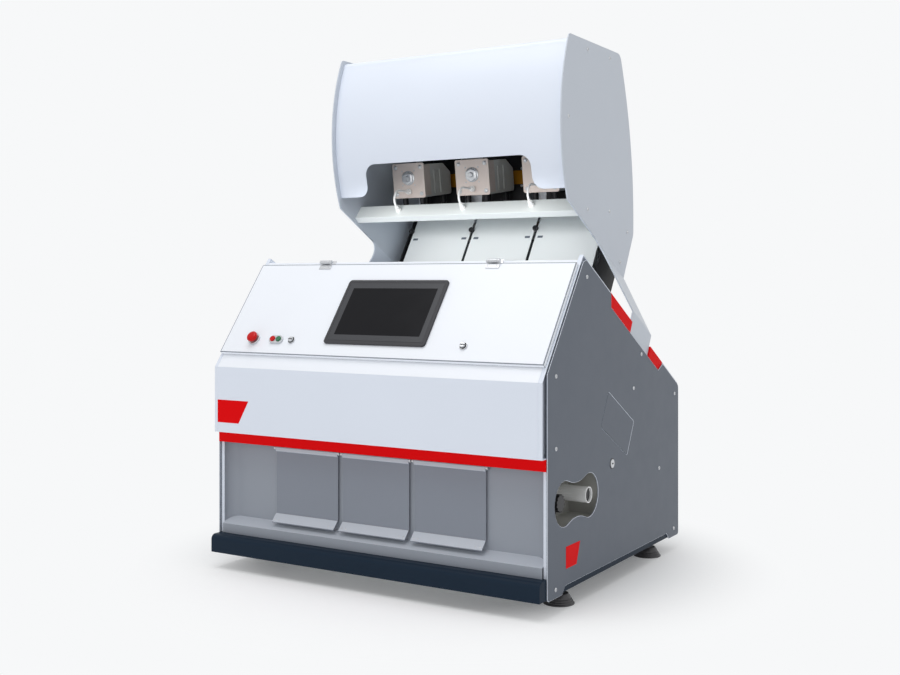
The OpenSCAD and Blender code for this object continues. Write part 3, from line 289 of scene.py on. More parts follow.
def brush_group():
    """Fine straight lines of brushed or rolled metal, running along X."""
    tree, inn, out = shader_group(
        "brush_lines",
        [("Fineness", "NodeSocketFloat", 900.0), ("Depth", "NodeSocketFloat", 0.15),
         ("Gloss", "NodeSocketFloat", 0.32)],
        [("Normal", "NodeSocketVector"), ("Roughness", "NodeSocketFloat")])
    coords = node(tree, "ShaderNodeTexCoord", (-900, 0))
    drawn = node(tree, "ShaderNodeMapping", (-700, 0), Scale=(0.02, 1.0, 1.0))
    lines = node(tree, "ShaderNodeTexNoise", (-450, 0), Detail=3.0, Roughness=0.6)
    bump = node(tree, "ShaderNodeBump", (100, 0), Distance=0.0003)
    link = tree.links.new
    link(coords.outputs["Object"], drawn.inputs["Vector"])
    link(drawn.outputs["Vector"], lines.inputs["Vector"])
    link(inn.outputs["Fineness"], lines.inputs["Scale"])
    link(lines.outputs["Fac"], bump.inputs["Height"])
    link(inn.outputs["Depth"], bump.inputs["Strength"])
    link(bump.outputs["Normal"], out.inputs["Normal"])
    uneven_gloss(tree, lines, inn, out, 0.1)
    return tree


def group(name, maker):
    """A node group by name, built once."""
    return bpy.data.node_groups.get(name) or maker()


def blank(name):
    """The tree and the surface shader of a new material."""
    made = bpy.data.materials.new(DRESSED + name)
    made.use_nodes = True
    return made.node_tree, made.node_tree.nodes["Principled BSDF"]


def place_group(tree, maker, name, where, **values):
    """A shader group in a material, with its own values."""
    return node(tree, "ShaderNodeGroup", where, node_tree=group(name, maker), **values)


def toned(name, value, drift, gloss):
    """A new material whose colour drifts slowly: its tree, its shader and its uneven gloss."""
    tree, shader = blank(name)
    tone = place_group(tree, tone_group, "sheet_tone", (-500, 200), Color=(*value, 1), Drift=drift,
                       Gloss=gloss)
    tree.links.new(tone.outputs["Color"], shader.inputs["Base Color"])
    return tree, shader, tone.outputs["Roughness"]


def coated(name, value, gloss=0.4, drift=0.05, ripple=450.0, depth=0.06, coat=0.0, shine=0.5):
    """Sprayed paint, plastic or rubber: slow tone, uneven gloss and a fine ripple."""
    tree, shader, rough = toned(name, value, drift, gloss)
    peel = place_group(tree, peel_group, "fine_ripple", (-500, -100), Scale=ripple, Depth=depth)
    tree.links.new(rough, shader.inputs["Roughness"])
    tree.links.new(peel.outputs["Normal"], shader.inputs["Normal"])
    tune(shader, Coat_Weight=coat, Coat_Roughness=0.15, Specular_IOR_Level=shine)


def brushed(name, value, gloss, metal):
    """Rolled or brushed metal."""
    tree, shader, _ = toned(name, value, drift=0.06, gloss=gloss)
    lines = place_group(tree, brush_group, "brush_lines", (-500, -100), Fineness=900.0, Depth=0.12,
                        Gloss=gloss)
    tree.links.new(lines.outputs["Roughness"], shader.inputs["Roughness"])
    tree.links.new(lines.outputs["Normal"], shader.inputs["Normal"])
    tune(shader, Metallic=metal)


def glazed(name, value, through):
    """Polished clear glass."""
    tree, shader, rough = toned(name, value, drift=0.1, gloss=0.1)
    tree.links.new(rough, shader.inputs["Roughness"])
    tune(shader, Transmission_Weight=through, IOR=1.5)


def make_finishes():
    """Makes every finish, named for the record's slot or for the piece it is kept for."""
    p = paints()
    coated("white_paint", p.white, gloss=0.36, coat=0.12)
    coated("light_paint", p.light, gloss=0.38, coat=0.1)
    coated("silver_paint", p.silver, gloss=0.4, coat=0.1)
    coated("dark_paint", p.dark, gloss=0.45, drift=0.08, shine=0.25)
    coated("wall_paint", p.wall, gloss=0.42, drift=0.08, shine=0.3)
    coated("navy_paint", p.navy, gloss=0.4, drift=0.1, shine=0.08)
    coated("red_paint", p.red, gloss=0.5, shine=0.05)
    coated("black_paint", p.black, gloss=0.5, drift=0.1, shine=0.25)
    brushed("bright_steel", p.bright, gloss=0.3, metal=0.7)
    brushed("feeder_steel", p.feeder, gloss=0.45, metal=0.1)
    brushed("chute_sheet", p.chute, gloss=0.45, metal=0.1)
    brushed("face_plate", p.face, gloss=0.42, metal=0.3)
    coated("cast_drive", p.cast, gloss=0.6, ripple=220.0, depth=0.3, drift=0.15, shine=0.3)
    coated("amber_leaf", p.amber, gloss=0.4, ripple=260.0, depth=0.2, drift=0.2, shine=0.3)
    coated("black_rubber", p.rubber, gloss=0.42, ripple=700.0, depth=0.1, drift=0.15, shine=0.5)
    coated("black_plastic", p.black, gloss=0.48, ripple=900.0, depth=0.2)
    coated("bezel_plastic", p.bezel, gloss=0.45, ripple=1200.0, depth=0.15, shine=0.3)
    coated("white_plastic", p.cable, gloss=0.4, ripple=900.0, depth=0.08)
    coated("red_plastic", p.button, gloss=0.3, ripple=300.0, depth=0.02, shine=0.25)
    coated("green_plastic", p.go, gloss=0.22, ripple=300.0, depth=0.02, coat=0.3)
    coated("screen_glass", p.border, gloss=0.3, ripple=200.0, depth=0.01, shine=0.3)
    coated("screen_picture", p.screen, gloss=0.2, ripple=200.0, depth=0.01, shine=0.12)
    coated("flap_paint", p.flap, gloss=0.42, drift=0.08, shine=0.3)
    coated("pocket_lining", p.lining, gloss=0.5, drift=0.1, shine=0.2)
    brushed("polished_pipe", p.pipe, gloss=0.25, metal=0.2)
    glazed("clear_glass", p.glass, through=0.9)


def finish(slot):
    """A finish by its name."""
    return bpy.data.materials[DRESSED + slot]


# Mesh helpers

def mesh_of(work, name, smooth):
    """A mesh from finished work, with its faces outwards and its sharp edges marked."""
    bmesh.ops.recalc_face_normals(work, faces=work.faces)
    mesh = bpy.data.meshes.new(name)
    work.to_mesh(mesh)
    work.free()
    for face in mesh.polygons:
        face.use_smooth = smooth
    if smooth:
        mesh.set_sharp_from_angle(angle=SHARP)
    return mesh


def new_piece(name, build, slot, body, smooth=False):
    """A mesh piece made by build(bmesh), with its finish, riding on a body."""
    work = bmesh.new()
    build(work)
    bmesh.ops.remove_doubles(work, verts=work.verts, dist=SAME_POINT)
    return settle(name, mesh_of(work, name, smooth), slot, body)


def plate(name, outline, rise, slot, body):
    """A flat-faced piece on an outline."""
    return new_piece(name, lambda work: prism(work, outline, rise), slot, body)


def band(name, loops, slot, body, smooth=False):
    """A piece through loops of which the last is the first again."""
    return new_piece(name, lambda work: skin(work, loops, close=False), slot, body, smooth)


def bevel(made, label, width, segments):
    """A modifier that rounds the edges of a piece."""
    edge = made.modifiers.new(label, "BEVEL")
    edge.width = width
    edge.segments = segments
    edge.limit_method = "ANGLE"
    edge.angle_limit = EDGE_LIMIT
    return edge


def settle(name, mesh, slot, body):
    """An object for a finished mesh or curve, with its finish, riding on a body."""
    made = bpy.data.objects.new(name, mesh)
    bpy.context.scene.collection.objects.link(made)
    if not mesh.materials:
        mesh.materials.append(finish(slot))
    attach(made, body)
    return made


def skin(work, rings, close=True):
    """Quads between rings of equal counts, with the ends filled."""
    rows = [[work.verts.new(p) for p in points] for points in rings]
    count = len(rows[0])
    for low, high in zip(rows, rows[1:]):
        for k in range(count):
            m = (k + 1) % count
            work.faces.new((low[k], low[m], high[m], high[k]))
    if close:
        work.faces.new(list(reversed(rows[0])))
        work.faces.new(rows[-1])


def ring(radius, height, count=24, waves=0, depth=0.0):
    """A round or fluted ring about Z."""
    turn = 2 * math.pi / count
    return [Vector(((radius + depth * math.cos(waves * k * turn)) * math.cos(k * turn),
                    (radius + depth * math.cos(waves * k * turn)) * math.sin(k * turn), height))
            for k in range(count)]


def hexagon(across, height, count=24):
    """A ring that follows a hexagon, with as many points as a round one."""
    points = []
    for k in range(count):
        a = 2 * math.pi * k / count
        near = (a + math.pi / 6) % (math.pi / 3) - math.pi / 6
        r = across / 2 / math.cos(near)
        points.append(Vector((r * math.cos(a), r * math.sin(a), height)))
    return points


def shape(name, rings):
    """A small shape to be repeated, in the scene until its copies are made."""
    work = bmesh.new()
    skin(work, rings)
    made = bpy.data.objects.new(name, mesh_of(work, name, True))
    bpy.context.scene.collection.objects.link(made)
    return made


def socket_head(name):
    """Low round head of unit diameter with a hexagon socket."""
    return shape(name, [
        ring(0.5, 0.0), ring(0.5, 0.1), ring(0.46, 0.17), ring(0.38, 0.215), hexagon(0.42, 0.225),
        hexagon(0.4, 0.215), hexagon(0.4, 0.06)])


def washer_bolt(name):
    """Hexagon bolt on a washer; the head is a little over unit width."""
    return shape(name, [
        ring(0.75, 0.0), ring(0.75, 0.1), ring(0.72, 0.13), hexagon(1.06, 0.14), hexagon(1.06, 0.46),
        ring(0.47, 0.53), ring(0.2, 0.55)])


def flange_nut(name):
    """Flanged nut of unit width with the stud's end standing out of it."""
    return shape(name, [
        ring(0.64, 0.0), ring(0.64, 0.05), ring(0.6, 0.08), hexagon(1.02, 0.085), hexagon(1.02, 0.25),
        ring(0.46, 0.28), ring(0.27, 0.28), ring(0.21, 0.26), ring(0.21, 0.37), ring(0.17, 0.4)])


def star_knob(name):
    """Fluted hand knob of unit diameter."""
    return shape(name, [
        ring(0.3, 0.0, 40), ring(0.34, 0.12, 40), ring(0.54, 0.2, 40, 8, 0.03), ring(0.55, 0.5, 40, 8, 0.04),
        ring(0.5, 0.66, 40, 8, 0.03), ring(0.34, 0.74, 40), ring(0.15, 0.76, 40)])


def scatter_group():
    """Puts a shape on every point, turned to the point's own outward direction."""
    tree = bpy.data.node_groups.new("set_out", "GeometryNodeTree")
    for label, kind in (("Geometry", "NodeSocketGeometry"), ("Shape", "NodeSocketObject"),
                        ("Size", "NodeSocketFloat"), ("Finish", "NodeSocketMaterial")):
        tree.interface.new_socket(label, in_out="INPUT", socket_type=kind)
    tree.interface.new_socket("Geometry", in_out="OUTPUT", socket_type="NodeSocketGeometry")
    inn = node(tree, "NodeGroupInput", (-800, 0))
    points = node(tree, "GeometryNodeMeshToPoints", (-500, 100))
    info = node(tree, "GeometryNodeObjectInfo", (-500, -100))
    out_way = node(tree, "GeometryNodeInputNamedAttribute", (-700, -300), data_type="FLOAT_VECTOR",
                   Name="out")
    turn = node(tree, "FunctionNodeAlignRotationToVector", (-450, -300), axis="Z")
    copies = node(tree, "GeometryNodeInstanceOnPoints", (-200, 0))
    real = node(tree, "GeometryNodeRealizeInstances", (50, 0))
    dress = node(tree, "GeometryNodeSetMaterial", (250, 0))
    out = node(tree, "NodeGroupOutput", (450, 0))
    link = tree.links.new
    link(inn.outputs["Geometry"], points.inputs["Mesh"])
    link(inn.outputs["Shape"], info.inputs["Object"])
    link(points.outputs["Points"], copies.inputs["Points"])
    link(info.outputs["Geometry"], copies.inputs["Instance"])
    link(out_way.outputs["Attribute"], turn.inputs["Vector"])
    link(turn.outputs["Rotation"], copies.inputs["Rotation"])
    link(inn.outputs["Size"], copies.inputs["Scale"])
    link(copies.outputs["Instances"], real.inputs["Geometry"])
    link(real.outputs["Geometry"], dress.inputs["Geometry"])
    link(inn.outputs["Finish"], dress.inputs["Material"])
    link(dress.outputs["Geometry"], out.inputs["Geometry"])
    return tree


def scatter(name, places, pattern, size, slot, body):
    """One piece of many like shapes, one at each (point, outward direction)."""
    template = pattern(name + "_shape")
    mesh = bpy.data.meshes.new(name + "_points")
    mesh.from_pydata([p for p, _ in places], [], [])
    way = mesh.attributes.new("out", "FLOAT_VECTOR", "POINT")
    for k, (_, out) in enumerate(places):
        way.data[k].vector = out
    carrier = bpy.data.objects.new(name + "_points", mesh)
    bpy.context.scene.collection.objects.link(carrier)
    tree = group("set_out", scatter_group)
    rule = carrier.modifiers.new("set_out", "NODES")
    rule.node_group = tree
    values = {"Shape": template, "Size": size, "Finish": finish(slot)}
    for item in tree.interface.items_tree:
        if item.in_out == "INPUT" and item.name in values:
            rule[item.identifier] = values[item.name]
    bpy.context.view_layer.update()
    made = bpy.data.meshes.new_from_object(carrier.evaluated_get(bpy.context.evaluated_depsgraph_get()))
    made.name = name
    bpy.data.objects.remove(carrier)
    bpy.data.objects.remove(template)
    return settle(name, made, slot, body)


def prism(work, corners, rise):
    """A plate on an outline, raised by a vector."""
    skin(work, [corners, [corner + rise for corner in corners]])


def quad(centre, wide, high):
    """Corners of a rectangle, from its middle and its two half sides."""
    return [centre - wide - high, centre + wide - high, centre + wide + high, centre - wide + high]


def solids(name):
    """Points of each separate solid of a CAD node, left to right."""
    mesh = frame["nodes"][name].data
    owner = {}

    def root(key):
        while owner[key] != key:
            owner[key] = owner[owner[key]]
            key = owner[key]
        return key

    keys = [tuple(round(c, 5) for c in v.co) for v in mesh.vertices]
    for key in keys:
        owner.setdefault(key, key)
    for face in mesh.polygons:
        first = root(keys[face.vertices[0]])
        for v in face.vertices[1:]:
            owner[root(keys[v])] = first
    groups = {}
    for key in owner:
        groups.setdefault(root(key), []).append(Vector(key))
    return sorted(groups.values(), key=lambda points: span(points, RIGHT))


def span(points, way):
    """Lowest and highest place of points along a direction."""
    along = [p.dot(way) for p in points]
    return min(along), max(along)


def halfway(points, way):
    """Middle of points along a direction."""
    return sum(span(points, way)) / 2


def middle(points, *ways):
    """Middle of points along each of some directions."""
    return sum((way * halfway(points, way) for way in ways), Vector())


def soften(name, width, rim=None):
    """Welded, flat-faced view of a CAD node with softened edges, whose rounded faces may take a finish of
    their own as a painted highlight or painted shade line.
    """
    made = frame["nodes"][name]
    for face in made.data.polygons:
        face.use_smooth = True
    weld = made.modifiers.new("joined_faces", "WELD")
    weld.merge_threshold = WELDED
    flat = made.modifiers.new("flat_faces", "DECIMATE")
    flat.decimate_type = "DISSOLVE"
    flat.angle_limit = FLAT_LIMIT
    edge = bevel(made, "soft_edges", width, 2)
    edge.use_clamp_overlap = False
    # The rounded edge faces take the second finish: a paler one is a painted highlight, a darker one a
    # painted shade line
    if rim:
        made.data.materials.append(finish(rim))
        edge.material = 1
    level = made.modifiers.new("level_faces", "WEIGHTED_NORMAL")
    level.weight = 100
    level.keep_sharp = True


# Nodes whose edges stay as cut, because a piece of the scene stands for them
BARE_NODES = ("panel_screws", "feeder_cables")

# Nodes whose softened edges get a painted highlight or a painted shade line, nodes whose upward faces get a
# paler paint as painted light on their tops, and nodes with a finish of their own
# Side panels get a painted highlight along their edges; the control door gets a painted shade line round its
# edges
PAINTED_EDGE_LIGHT_AND_SHADE = {"side_panel_right": "light_paint", "side_panel_left": "light_paint", "control_door": "dark_paint"}
PAINTED_LIGHT_TOPS = {"outlet_front": "silver_paint", "front_panel": "white_paint"}
OWN_FINISH = {
    "service_recess": "pocket_lining", "air_inlet_pipe": "polished_pipe", "hopper_front_cover": "light_paint",
    "feeder_mounts": "black_paint", **{"outlet_flap_" + side: "flap_paint" for side in SIDES}}


class SORTER_OT_finishes(bpy.types.Operator):
    """Gives every solid its finish and softened edges"""
    bl_idname = "sorter.finishes"
    bl_label = "Finishes"

    def execute(self, context):
        make_finishes()
        for part in frame["record"]["subparts"]:
            name = part["node"]
            mesh = frame["nodes"][name].data
            mesh.materials.clear()
            mesh.materials.append(finish(OWN_FINISH.get(name, part["material_slot"])))
            # Upward faces of these nodes get the paler second finish: painted light on the outlet sill and
            # the front panel's bevel
            if name in PAINTED_LIGHT_TOPS:
                mesh.materials.append(finish(PAINTED_LIGHT_TOPS[name]))
                for face in mesh.polygons:
                    face.material_index = int(face.normal.dot(UP) > UPWARD)
            if name in PAINTED_EDGE_LIGHT_AND_SHADE:
                soften(name, sizes().rim, PAINTED_EDGE_LIGHT_AND_SHADE[name])
            elif name not in BARE_NODES:
                soften(name, sizes().edge)
        return {"FINISHED"}


class SORTER_OT_panel_screws(bpy.types.Operator):
    """Socket screws in the side panels and hopper end plates"""
    bl_idname = "sorter.panel_screws"
    bl_label = "Panel screws"

    def execute(self, context):
        places = []
        for points in solids("panel_screws"):
            low, high = span(points, RIGHT)
            side = 1 if low > 0 else -1
            seat = RIGHT * (low if side > 0 else high) + middle(points, BACK, UP)
            places.append((seat, RIGHT * side))
        made = scatter("panel_screw_heads", places, socket_head, sizes().screw, "bright_steel", "machine")
        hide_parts("panel_screws")
        return {"FINISHED"}


class SORTER_OT_cables(bpy.types.Operator):
    """White cables from the feeders over into the beam"""
    bl_idname = "sorter.cables"
    bl_label = "Feeder cables"

    def execute(self, context):
        # The bend's radius, the straight run's start, the bend's centre and its turn in degrees
        bend, start_y, arc_y, arc_z, turn = 35.0, 664.6, 612.4, 1332.5, 139.0
        straight_steps, arc_steps = 4, 24
        for side, solid in zip(SIDES, solids("feeder_cables")):
            x = halfway(solid, RIGHT) / MM
            points = [at(x, start_y + (arc_y - start_y) * k / straight_steps, arc_z + bend)
                      for k in range(straight_steps)]
            for k in range(arc_steps + 1):
                a = math.radians(90 + turn * k / arc_steps)
                points.append(at(x, arc_y + bend * math.cos(a), arc_z + bend * math.sin(a)))
            name = "feeder_cable_" + side
            curve = bpy.data.curves.new(name, "CURVE")
            curve.dimensions = "3D"
            curve.bevel_depth = sizes().cable / 2
            curve.bevel_resolution = 5
            curve.use_fill_caps = True
            line = curve.splines.new("POLY")
            line.points.add(len(points) - 1)
            for spot, point in zip(line.points, points):
                spot.co = (*point, 1)
            made = settle(name, curve, "white_plastic", "machine")
            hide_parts("feeder_cables")
        return {"FINISHED"}


class SORTER_OT_feeder_fittings(bpy.types.Operator):
    """Bolts, centre nuts and small screws on the feeders' face plates"""
    bl_idname = "sorter.feeder_fittings"
    bl_label = "Feeder fittings"

    def execute(self, context):
        nut_high, nut_up, bolt_in, screw_out = 10 * MM, 78 * MM, 16 * MM, 28 * MM
        bolts, nuts, screws = [], [], []
        for sheet in solids("feeder_face_plates"):
            left, right = span(sheet, RIGHT)
            low, high = span(sheet, FACE_UP)
            front = FACE_OUT * (span(sheet, FACE_OUT)[1] - nut_high)
            centre = RIGHT * (left + right) / 2 + FACE_UP * (low + nut_up) + front
            nuts.append((centre, FACE_OUT))
            for x, side in ((left + bolt_in, -1), (right - bolt_in, 1)):
                for up, lift in ((low + bolt_in, -1), (high - bolt_in, 1)):
                    bolts.append((RIGHT * x + FACE_UP * up + front, FACE_OUT))
                    screws.append((centre + (RIGHT * side + FACE_UP * lift) * screw_out, FACE_OUT))
        for name, places, pattern, size in (("feeder_bolts", bolts, washer_bolt, sizes().bolt),
                                            ("feeder_nuts", nuts, flange_nut, sizes().nut),
                                            ("feeder_screws", screws, socket_head, sizes().small_screw)):
            scatter(name, places, pattern, size, "bright_steel", "machine")
        return {"FINISHED"}


# Line along a flap's lip: in from its front edge and up from its lowest
LIP_IN = 8.2 * MM
LIP_RISE = 10.8 * MM


def lip_line(flap):
    """Place of a line along the upper side of a flap's lip, without its X."""
    return BACK * (span(flap, BACK)[0] + LIP_IN) + UP * (span(flap, UP)[0] + LIP_RISE)


class SORTER_OT_small_screws(bpy.types.Operator):
    """Screws in the flaps' lips and in the door's hinge leaves"""
    bl_idname = "sorter.small_screws"
    bl_label = "Small screws"

    def execute(self, context):
        ends_in, leaf_thick, leaf_in = (10 * MM, 26 * MM), 3 * MM, 8 * MM
        for side in SIDES:
            body = "outlet_flap_" + side
            flap = solids(body)[0]
            lip_end = span(flap, BACK)[0] + LIP_IN
            left, right = span([p for p in flap if p.y < lip_end], RIGHT)
            seat = lip_line(flap)
            places = [(RIGHT * x + seat, LIP_OUT) for end in ends_in for x in (left + end, right - end)]
            scatter("lip_screws_" + side, places, socket_head, sizes().small_screw, "bright_steel", body)
        skin_out = span(solids("control_door")[0], DOOR_OUT)[1]
        places = []
        for leaf in solids("door_hinge_leaves"):
            left, right = span(leaf, RIGHT)
            seat = DOOR_UP * (span(leaf, DOOR_UP)[0] + leaf_in) + DOOR_OUT * (skin_out + leaf_thick)
            places += [(RIGHT * x + seat, DOOR_OUT) for x in (left + leaf_in, right - leaf_in)]
        scatter("leaf_screws", places, socket_head, sizes().small_screw, "bright_steel", "control_door")
        return {"FINISHED"}


class SORTER_OT_flap_strips(bpy.types.Operator):
    """Folded strips over the flaps' hinge rods, and thin paler plates on their lips as painted light on the
    lips
    """
    bl_idname = "sorter.flap_strips"
    bl_label = "Flap strips"

    def execute(self, context):
        rod, front, back, above, below, nose = 3.5 * MM, 7 * MM, 1.6 * MM, 4 * MM, 12 * MM, 2 * MM
        lip_run, film = (-10 * MM, 25 * MM), 0.4 * MM
        for side in SIDES:
            body = "outlet_flap_" + side
            flap = solids(body)[0]
            top = span(flap, UP)[1]
            hinge_y = halfway([p for p in flap if p.z > top - rod / 10], BACK)
            lip_end = span(flap, BACK)[0] + rod
            left, right = span([p for p in flap if p.y < lip_end], RIGHT)
            hinge = BACK * hinge_y + UP * (top - rod) + RIGHT * left
            outline = [hinge + BACK * y + UP * z for y, z in (
                (-back, -below), (-front + nose, -below), (-front, nose - below), (-front, above - nose),
                (-front + nose, above), (-back, above))]
            plate("flap_strip_" + side, outline, RIGHT * (right - left), "silver_paint", body)
            # Thin plates in paler paint on each lip's upper side: painted light on the lips
            rows = [lip_line(flap) + LIP_UP * along for along in lip_run]
            lip = [RIGHT * x + row for row, ends in zip(rows, ((left, right), (right, left))) for x in ends]
            plate("lip_plate_" + side, lip, LIP_OUT * film, "silver_paint", body)
        return {"FINISHED"}


class SORTER_OT_feeder_trim(bpy.types.Operator):
    """Screwed clamps over the leaf springs, and dark films over the vents in the chute covers as painted
    shade inside them
    """
    bl_idname = "sorter.feeder_trim"
    bl_label = "Feeder trim"

    def execute(self, context):
        thick, foot_high, top_up, screw_in, eased = 2.5 * MM, 14 * MM, 68 * MM, 14 * MM, 0.6 * MM
        springs = solids("leaf_springs")
        front = min(span(leaf, BACK)[0] for leaf in springs)
        places, plates = [], []
        for leaf in (leaf for leaf in springs if span(leaf, BACK)[0] < front + MM):
            left, right = span(leaf, RIGHT)
            low, high = span(leaf, UP)
            for base, top in ((low, low + foot_high), (low + top_up, high)):
                face = BACK * (front - thick)
                plates.append([RIGHT * x + UP * z + face
                               for x, z in ((left, base), (right, base), (right, top), (left, top))])
                places += [(RIGHT * x + UP * (base + foot_high / 2) + face, -BACK)
                           for x in (left + screw_in, right - screw_in)]

        def clamps(work):
            for outline in plates:
                prism(work, outline, BACK * thick)

        bevel(new_piece("spring_clamps", clamps, "black_paint", "machine"), "eased_edges", eased, 3)
        scatter("clamp_screws", places, socket_head, sizes().bolt, "bright_steel", "machine")

        vent_high, edge_in, ends_in, film = 10 * MM, 4 * MM, 20 * MM, 0.4 * MM

        # Dark film over each vent's openings on the cover's face: painted shade inside the vents
        def vent_shades(work):
            for cover in solids("chute_covers"):
                left, right = span(cover, RIGHT)
                low, high = span(cover, CHUTE_UP)
                top = CHUTE_OUT * span(cover, CHUTE_OUT)[1]
                between = (left + right) / 2
                cut = [p for p in cover if left + edge_in < p.x < right - edge_in
                       and low + ends_in < p.dot(CHUTE_UP) < high - ends_in]
                for points in ([p for p in cut if p.x < between], [p for p in cut if p.x > between]):
                    ends = span(points, RIGHT)
                    corners = quad(middle(points, RIGHT, CHUTE_UP) + top, RIGHT * (ends[1] - ends[0]) / 2,
                                   CHUTE_UP * vent_high / 2)
                    prism(work, corners, CHUTE_OUT * film)

        new_piece("cover_vents", vent_shades, "dark_paint", "machine")
        return {"FINISHED"}


# Locks: node, body of the ring, directions across, up and out, keyway's share and height, height of the lock
LOCKS = (
    ("door_lock_left", "control_door", RIGHT, DOOR_UP, DOOR_OUT, 0.94, 3 * MM, 8 * MM),
    ("door_lock_right", "control_door", RIGHT, DOOR_UP, DOOR_OUT, 0.94, 3 * MM, 8 * MM),
    ("panel_lock", "machine", BACK, UP, RIGHT, 0.49, 4 * MM, 3 * MM))


class SORTER_OT_lock_marks(bpy.types.Operator):
    """Dark rings round the locks, and black blocks in their keyways as painted shade"""
    bl_idname = "sorter.lock_marks"
    bl_label = "Lock marks"

    def execute(self, context):
        film, room, rim, deep, count = 0.5 * MM, 0.5 * MM, 3.2 * MM, 3 * MM, 32
        for name, carrier, across, up, out, wide, high, proud in LOCKS:
            lock = solids(name)[0]
            face = span(lock, out)[1]
            crown = [p for p in lock if p.dot(out) > face - deep / 2]
            radius = (span(crown, across)[1] - span(crown, across)[0]) / 2
            centre = middle(crown, across, up) + out * (face - proud)
            # Black block sunk in each keyway: painted shade inside the slot
            keyway_shade = quad(centre + out * (proud - deep), across * radius * wide, up * (high / 2 - room / 2))
            plate(name + "_keyway", keyway_shade, out * (deep - room), "black_plastic", name)
            turns = [2 * math.pi * k / count for k in range(count)]
            loops = [[centre + (across * math.cos(a) + up * math.sin(a)) * r + out * rise for a in turns]
                     for r, rise in ((radius + room, 0), (radius + room, film), (radius + rim, film),
                                     (radius + rim, 0), (radius + room, 0))]
            band(name + "_ring", loops, "black_plastic", carrier, smooth=True)
        return {"FINISHED"}


class SORTER_OT_pocket_fittings(bpy.types.Operator):
    """Black valve block round the regulator, and a black disc inside the air pipe's mouth as painted shade of
    its bore
    """
    bl_idname = "sorter.pocket_fittings"
    bl_label = "Pocket fittings"

    def execute(self, context):
        half_wide, half_high, corner, deep, eased = 44 * MM, 56 * MM, 16 * MM, 58 * MM, 4 * MM
        body = solids("filter_regulator")[0]
        centre = RIGHT * span(body, RIGHT)[0] + middle(body, BACK, UP)
        outline = []
        for y, z in ((-1, -1), (1, -1), (1, 1), (-1, 1)):
            cuts = [(half_wide, half_high - corner), (half_wide - corner, half_high)]
            for a, b in (cuts if y * z < 0 else reversed(cuts)):
                outline.append(centre + BACK * y * a + UP * z * b)
        block = plate("valve_block", outline, RIGHT * deep, "black_plastic", "machine")
        bevel(block, "eased_edges", eased, 3)
        wall, sunk, room = 3 * MM, 9 * MM, 0.2 * MM
        pipe = solids("air_inlet_pipe")[0]
        radius = (span(pipe, UP)[1] - span(pipe, UP)[0]) / 2 - wall - room
        mouth = RIGHT * (span(pipe, RIGHT)[1] - sunk) + middle(pipe, BACK, UP)
        # Black disc sunk inside the pipe's mouth: painted shade of the bore
        disc = [mouth + BACK * p.x + UP * p.y for p in ring(radius, 0)]
        plate("pipe_bore", disc, RIGHT * MM, "black_plastic", "machine")
        return {"FINISHED"}


class SORTER_OT_screen(bpy.types.Operator):
    """Dark picture on the screen's glass"""
    bl_idname = "sorter.screen"
    bl_label = "Screen"

    def execute(self, context):
        glass = solids("screen_glass")[0]
        film = 0.4 * MM
        centre = middle(glass, DOOR_UP) + DOOR_OUT * span(glass, DOOR_OUT)[1]
        corners = quad(centre, RIGHT * sizes().picture_wide / 2, DOOR_UP * sizes().picture_high / 2)
        made = plate("screen_picture", corners, DOOR_OUT * film, "screen_glass", "control_door")
        made.data.materials[0] = finish("screen_picture")
        return {"FINISHED"}


class SORTER_OT_red_fields(bpy.types.Operator):
    """Plain red fields on the front panel and the right side panel"""
    bl_idname = "sorter.red_fields"
    bl_label = "Red fields"

    def execute(self, context):
        film = 0.5 * MM
        front = span(solids("front_panel")[0], RIGHT)[0] / MM
        outer = span(solids("side_panel_right")[0], RIGHT)[1] / MM
        face_y, front_low, front_high, foot_x, head_x = -27, 517, 597, -540, -495
        near_y, side_low, side_high, foot_y, head_y = 127, 128, 196, 203, 230
        on_front = [at(x, face_y, z) for x, z in (
            (front, front_low), (foot_x, front_low), (head_x, front_high), (front, front_high))]
        on_side = [at(outer, y, z) for y, z in (
            (near_y, side_low), (foot_y, side_low), (head_y, side_high), (near_y, side_high))]
        plate("front_field", on_front, -BACK * film, "red_paint", "machine")
        plate("side_field", on_side, RIGHT * film, "red_paint", "machine")
        return {"FINISHED"}


class SORTER_OT_door_seal(bpy.types.Operator):
    """Rubber seal inside the control door's folded rim and a thin grey line round its face, a painted shadow
    of the gap round the door
    """
    bl_idname = "sorter.door_seal"
    bl_label = "Door seal"

    def execute(self, context):
        door = solids("control_door")[0]
        rim, skin_thick, room = 5 * MM, 2.2 * MM, 0.8 * MM
        wide = span(door, RIGHT)[1] - rim
        low, high = span(door, DOOR_UP)
        under, over = span(door, DOOR_OUT)

        def loop(inset, out):
            x = wide - inset
            ends = (low + rim + inset, high - rim - inset)
            return [RIGHT * a + DOOR_UP * b + DOOR_OUT * out
                    for a, b in ((-x, ends[0]), (x, ends[0]), (x, ends[1]), (-x, ends[1]))]

        bottom, top = under + room, over - skin_thick
        rings = [loop(0, bottom), loop(0, top), loop(sizes().seal, top), loop(sizes().seal, bottom),
                 loop(0, bottom)]
        band("door_seal", rings, "black_rubber", "control_door")
        # Thin grey band just inside the door's outline: painted shadow standing for the gap round the door
        edge_in, edge_wide, film = 1 * MM, 2.6 * MM, 0.3 * MM
        edge_far = edge_in + edge_wide
        lines = [loop(inset - rim, over + rise) for inset, rise in (
            (edge_in, 0), (edge_in, film), (edge_far, film), (edge_far, 0), (edge_in, 0))]
        band("door_edge_line", lines, "wall_paint", "control_door")
        return {"FINISHED"}


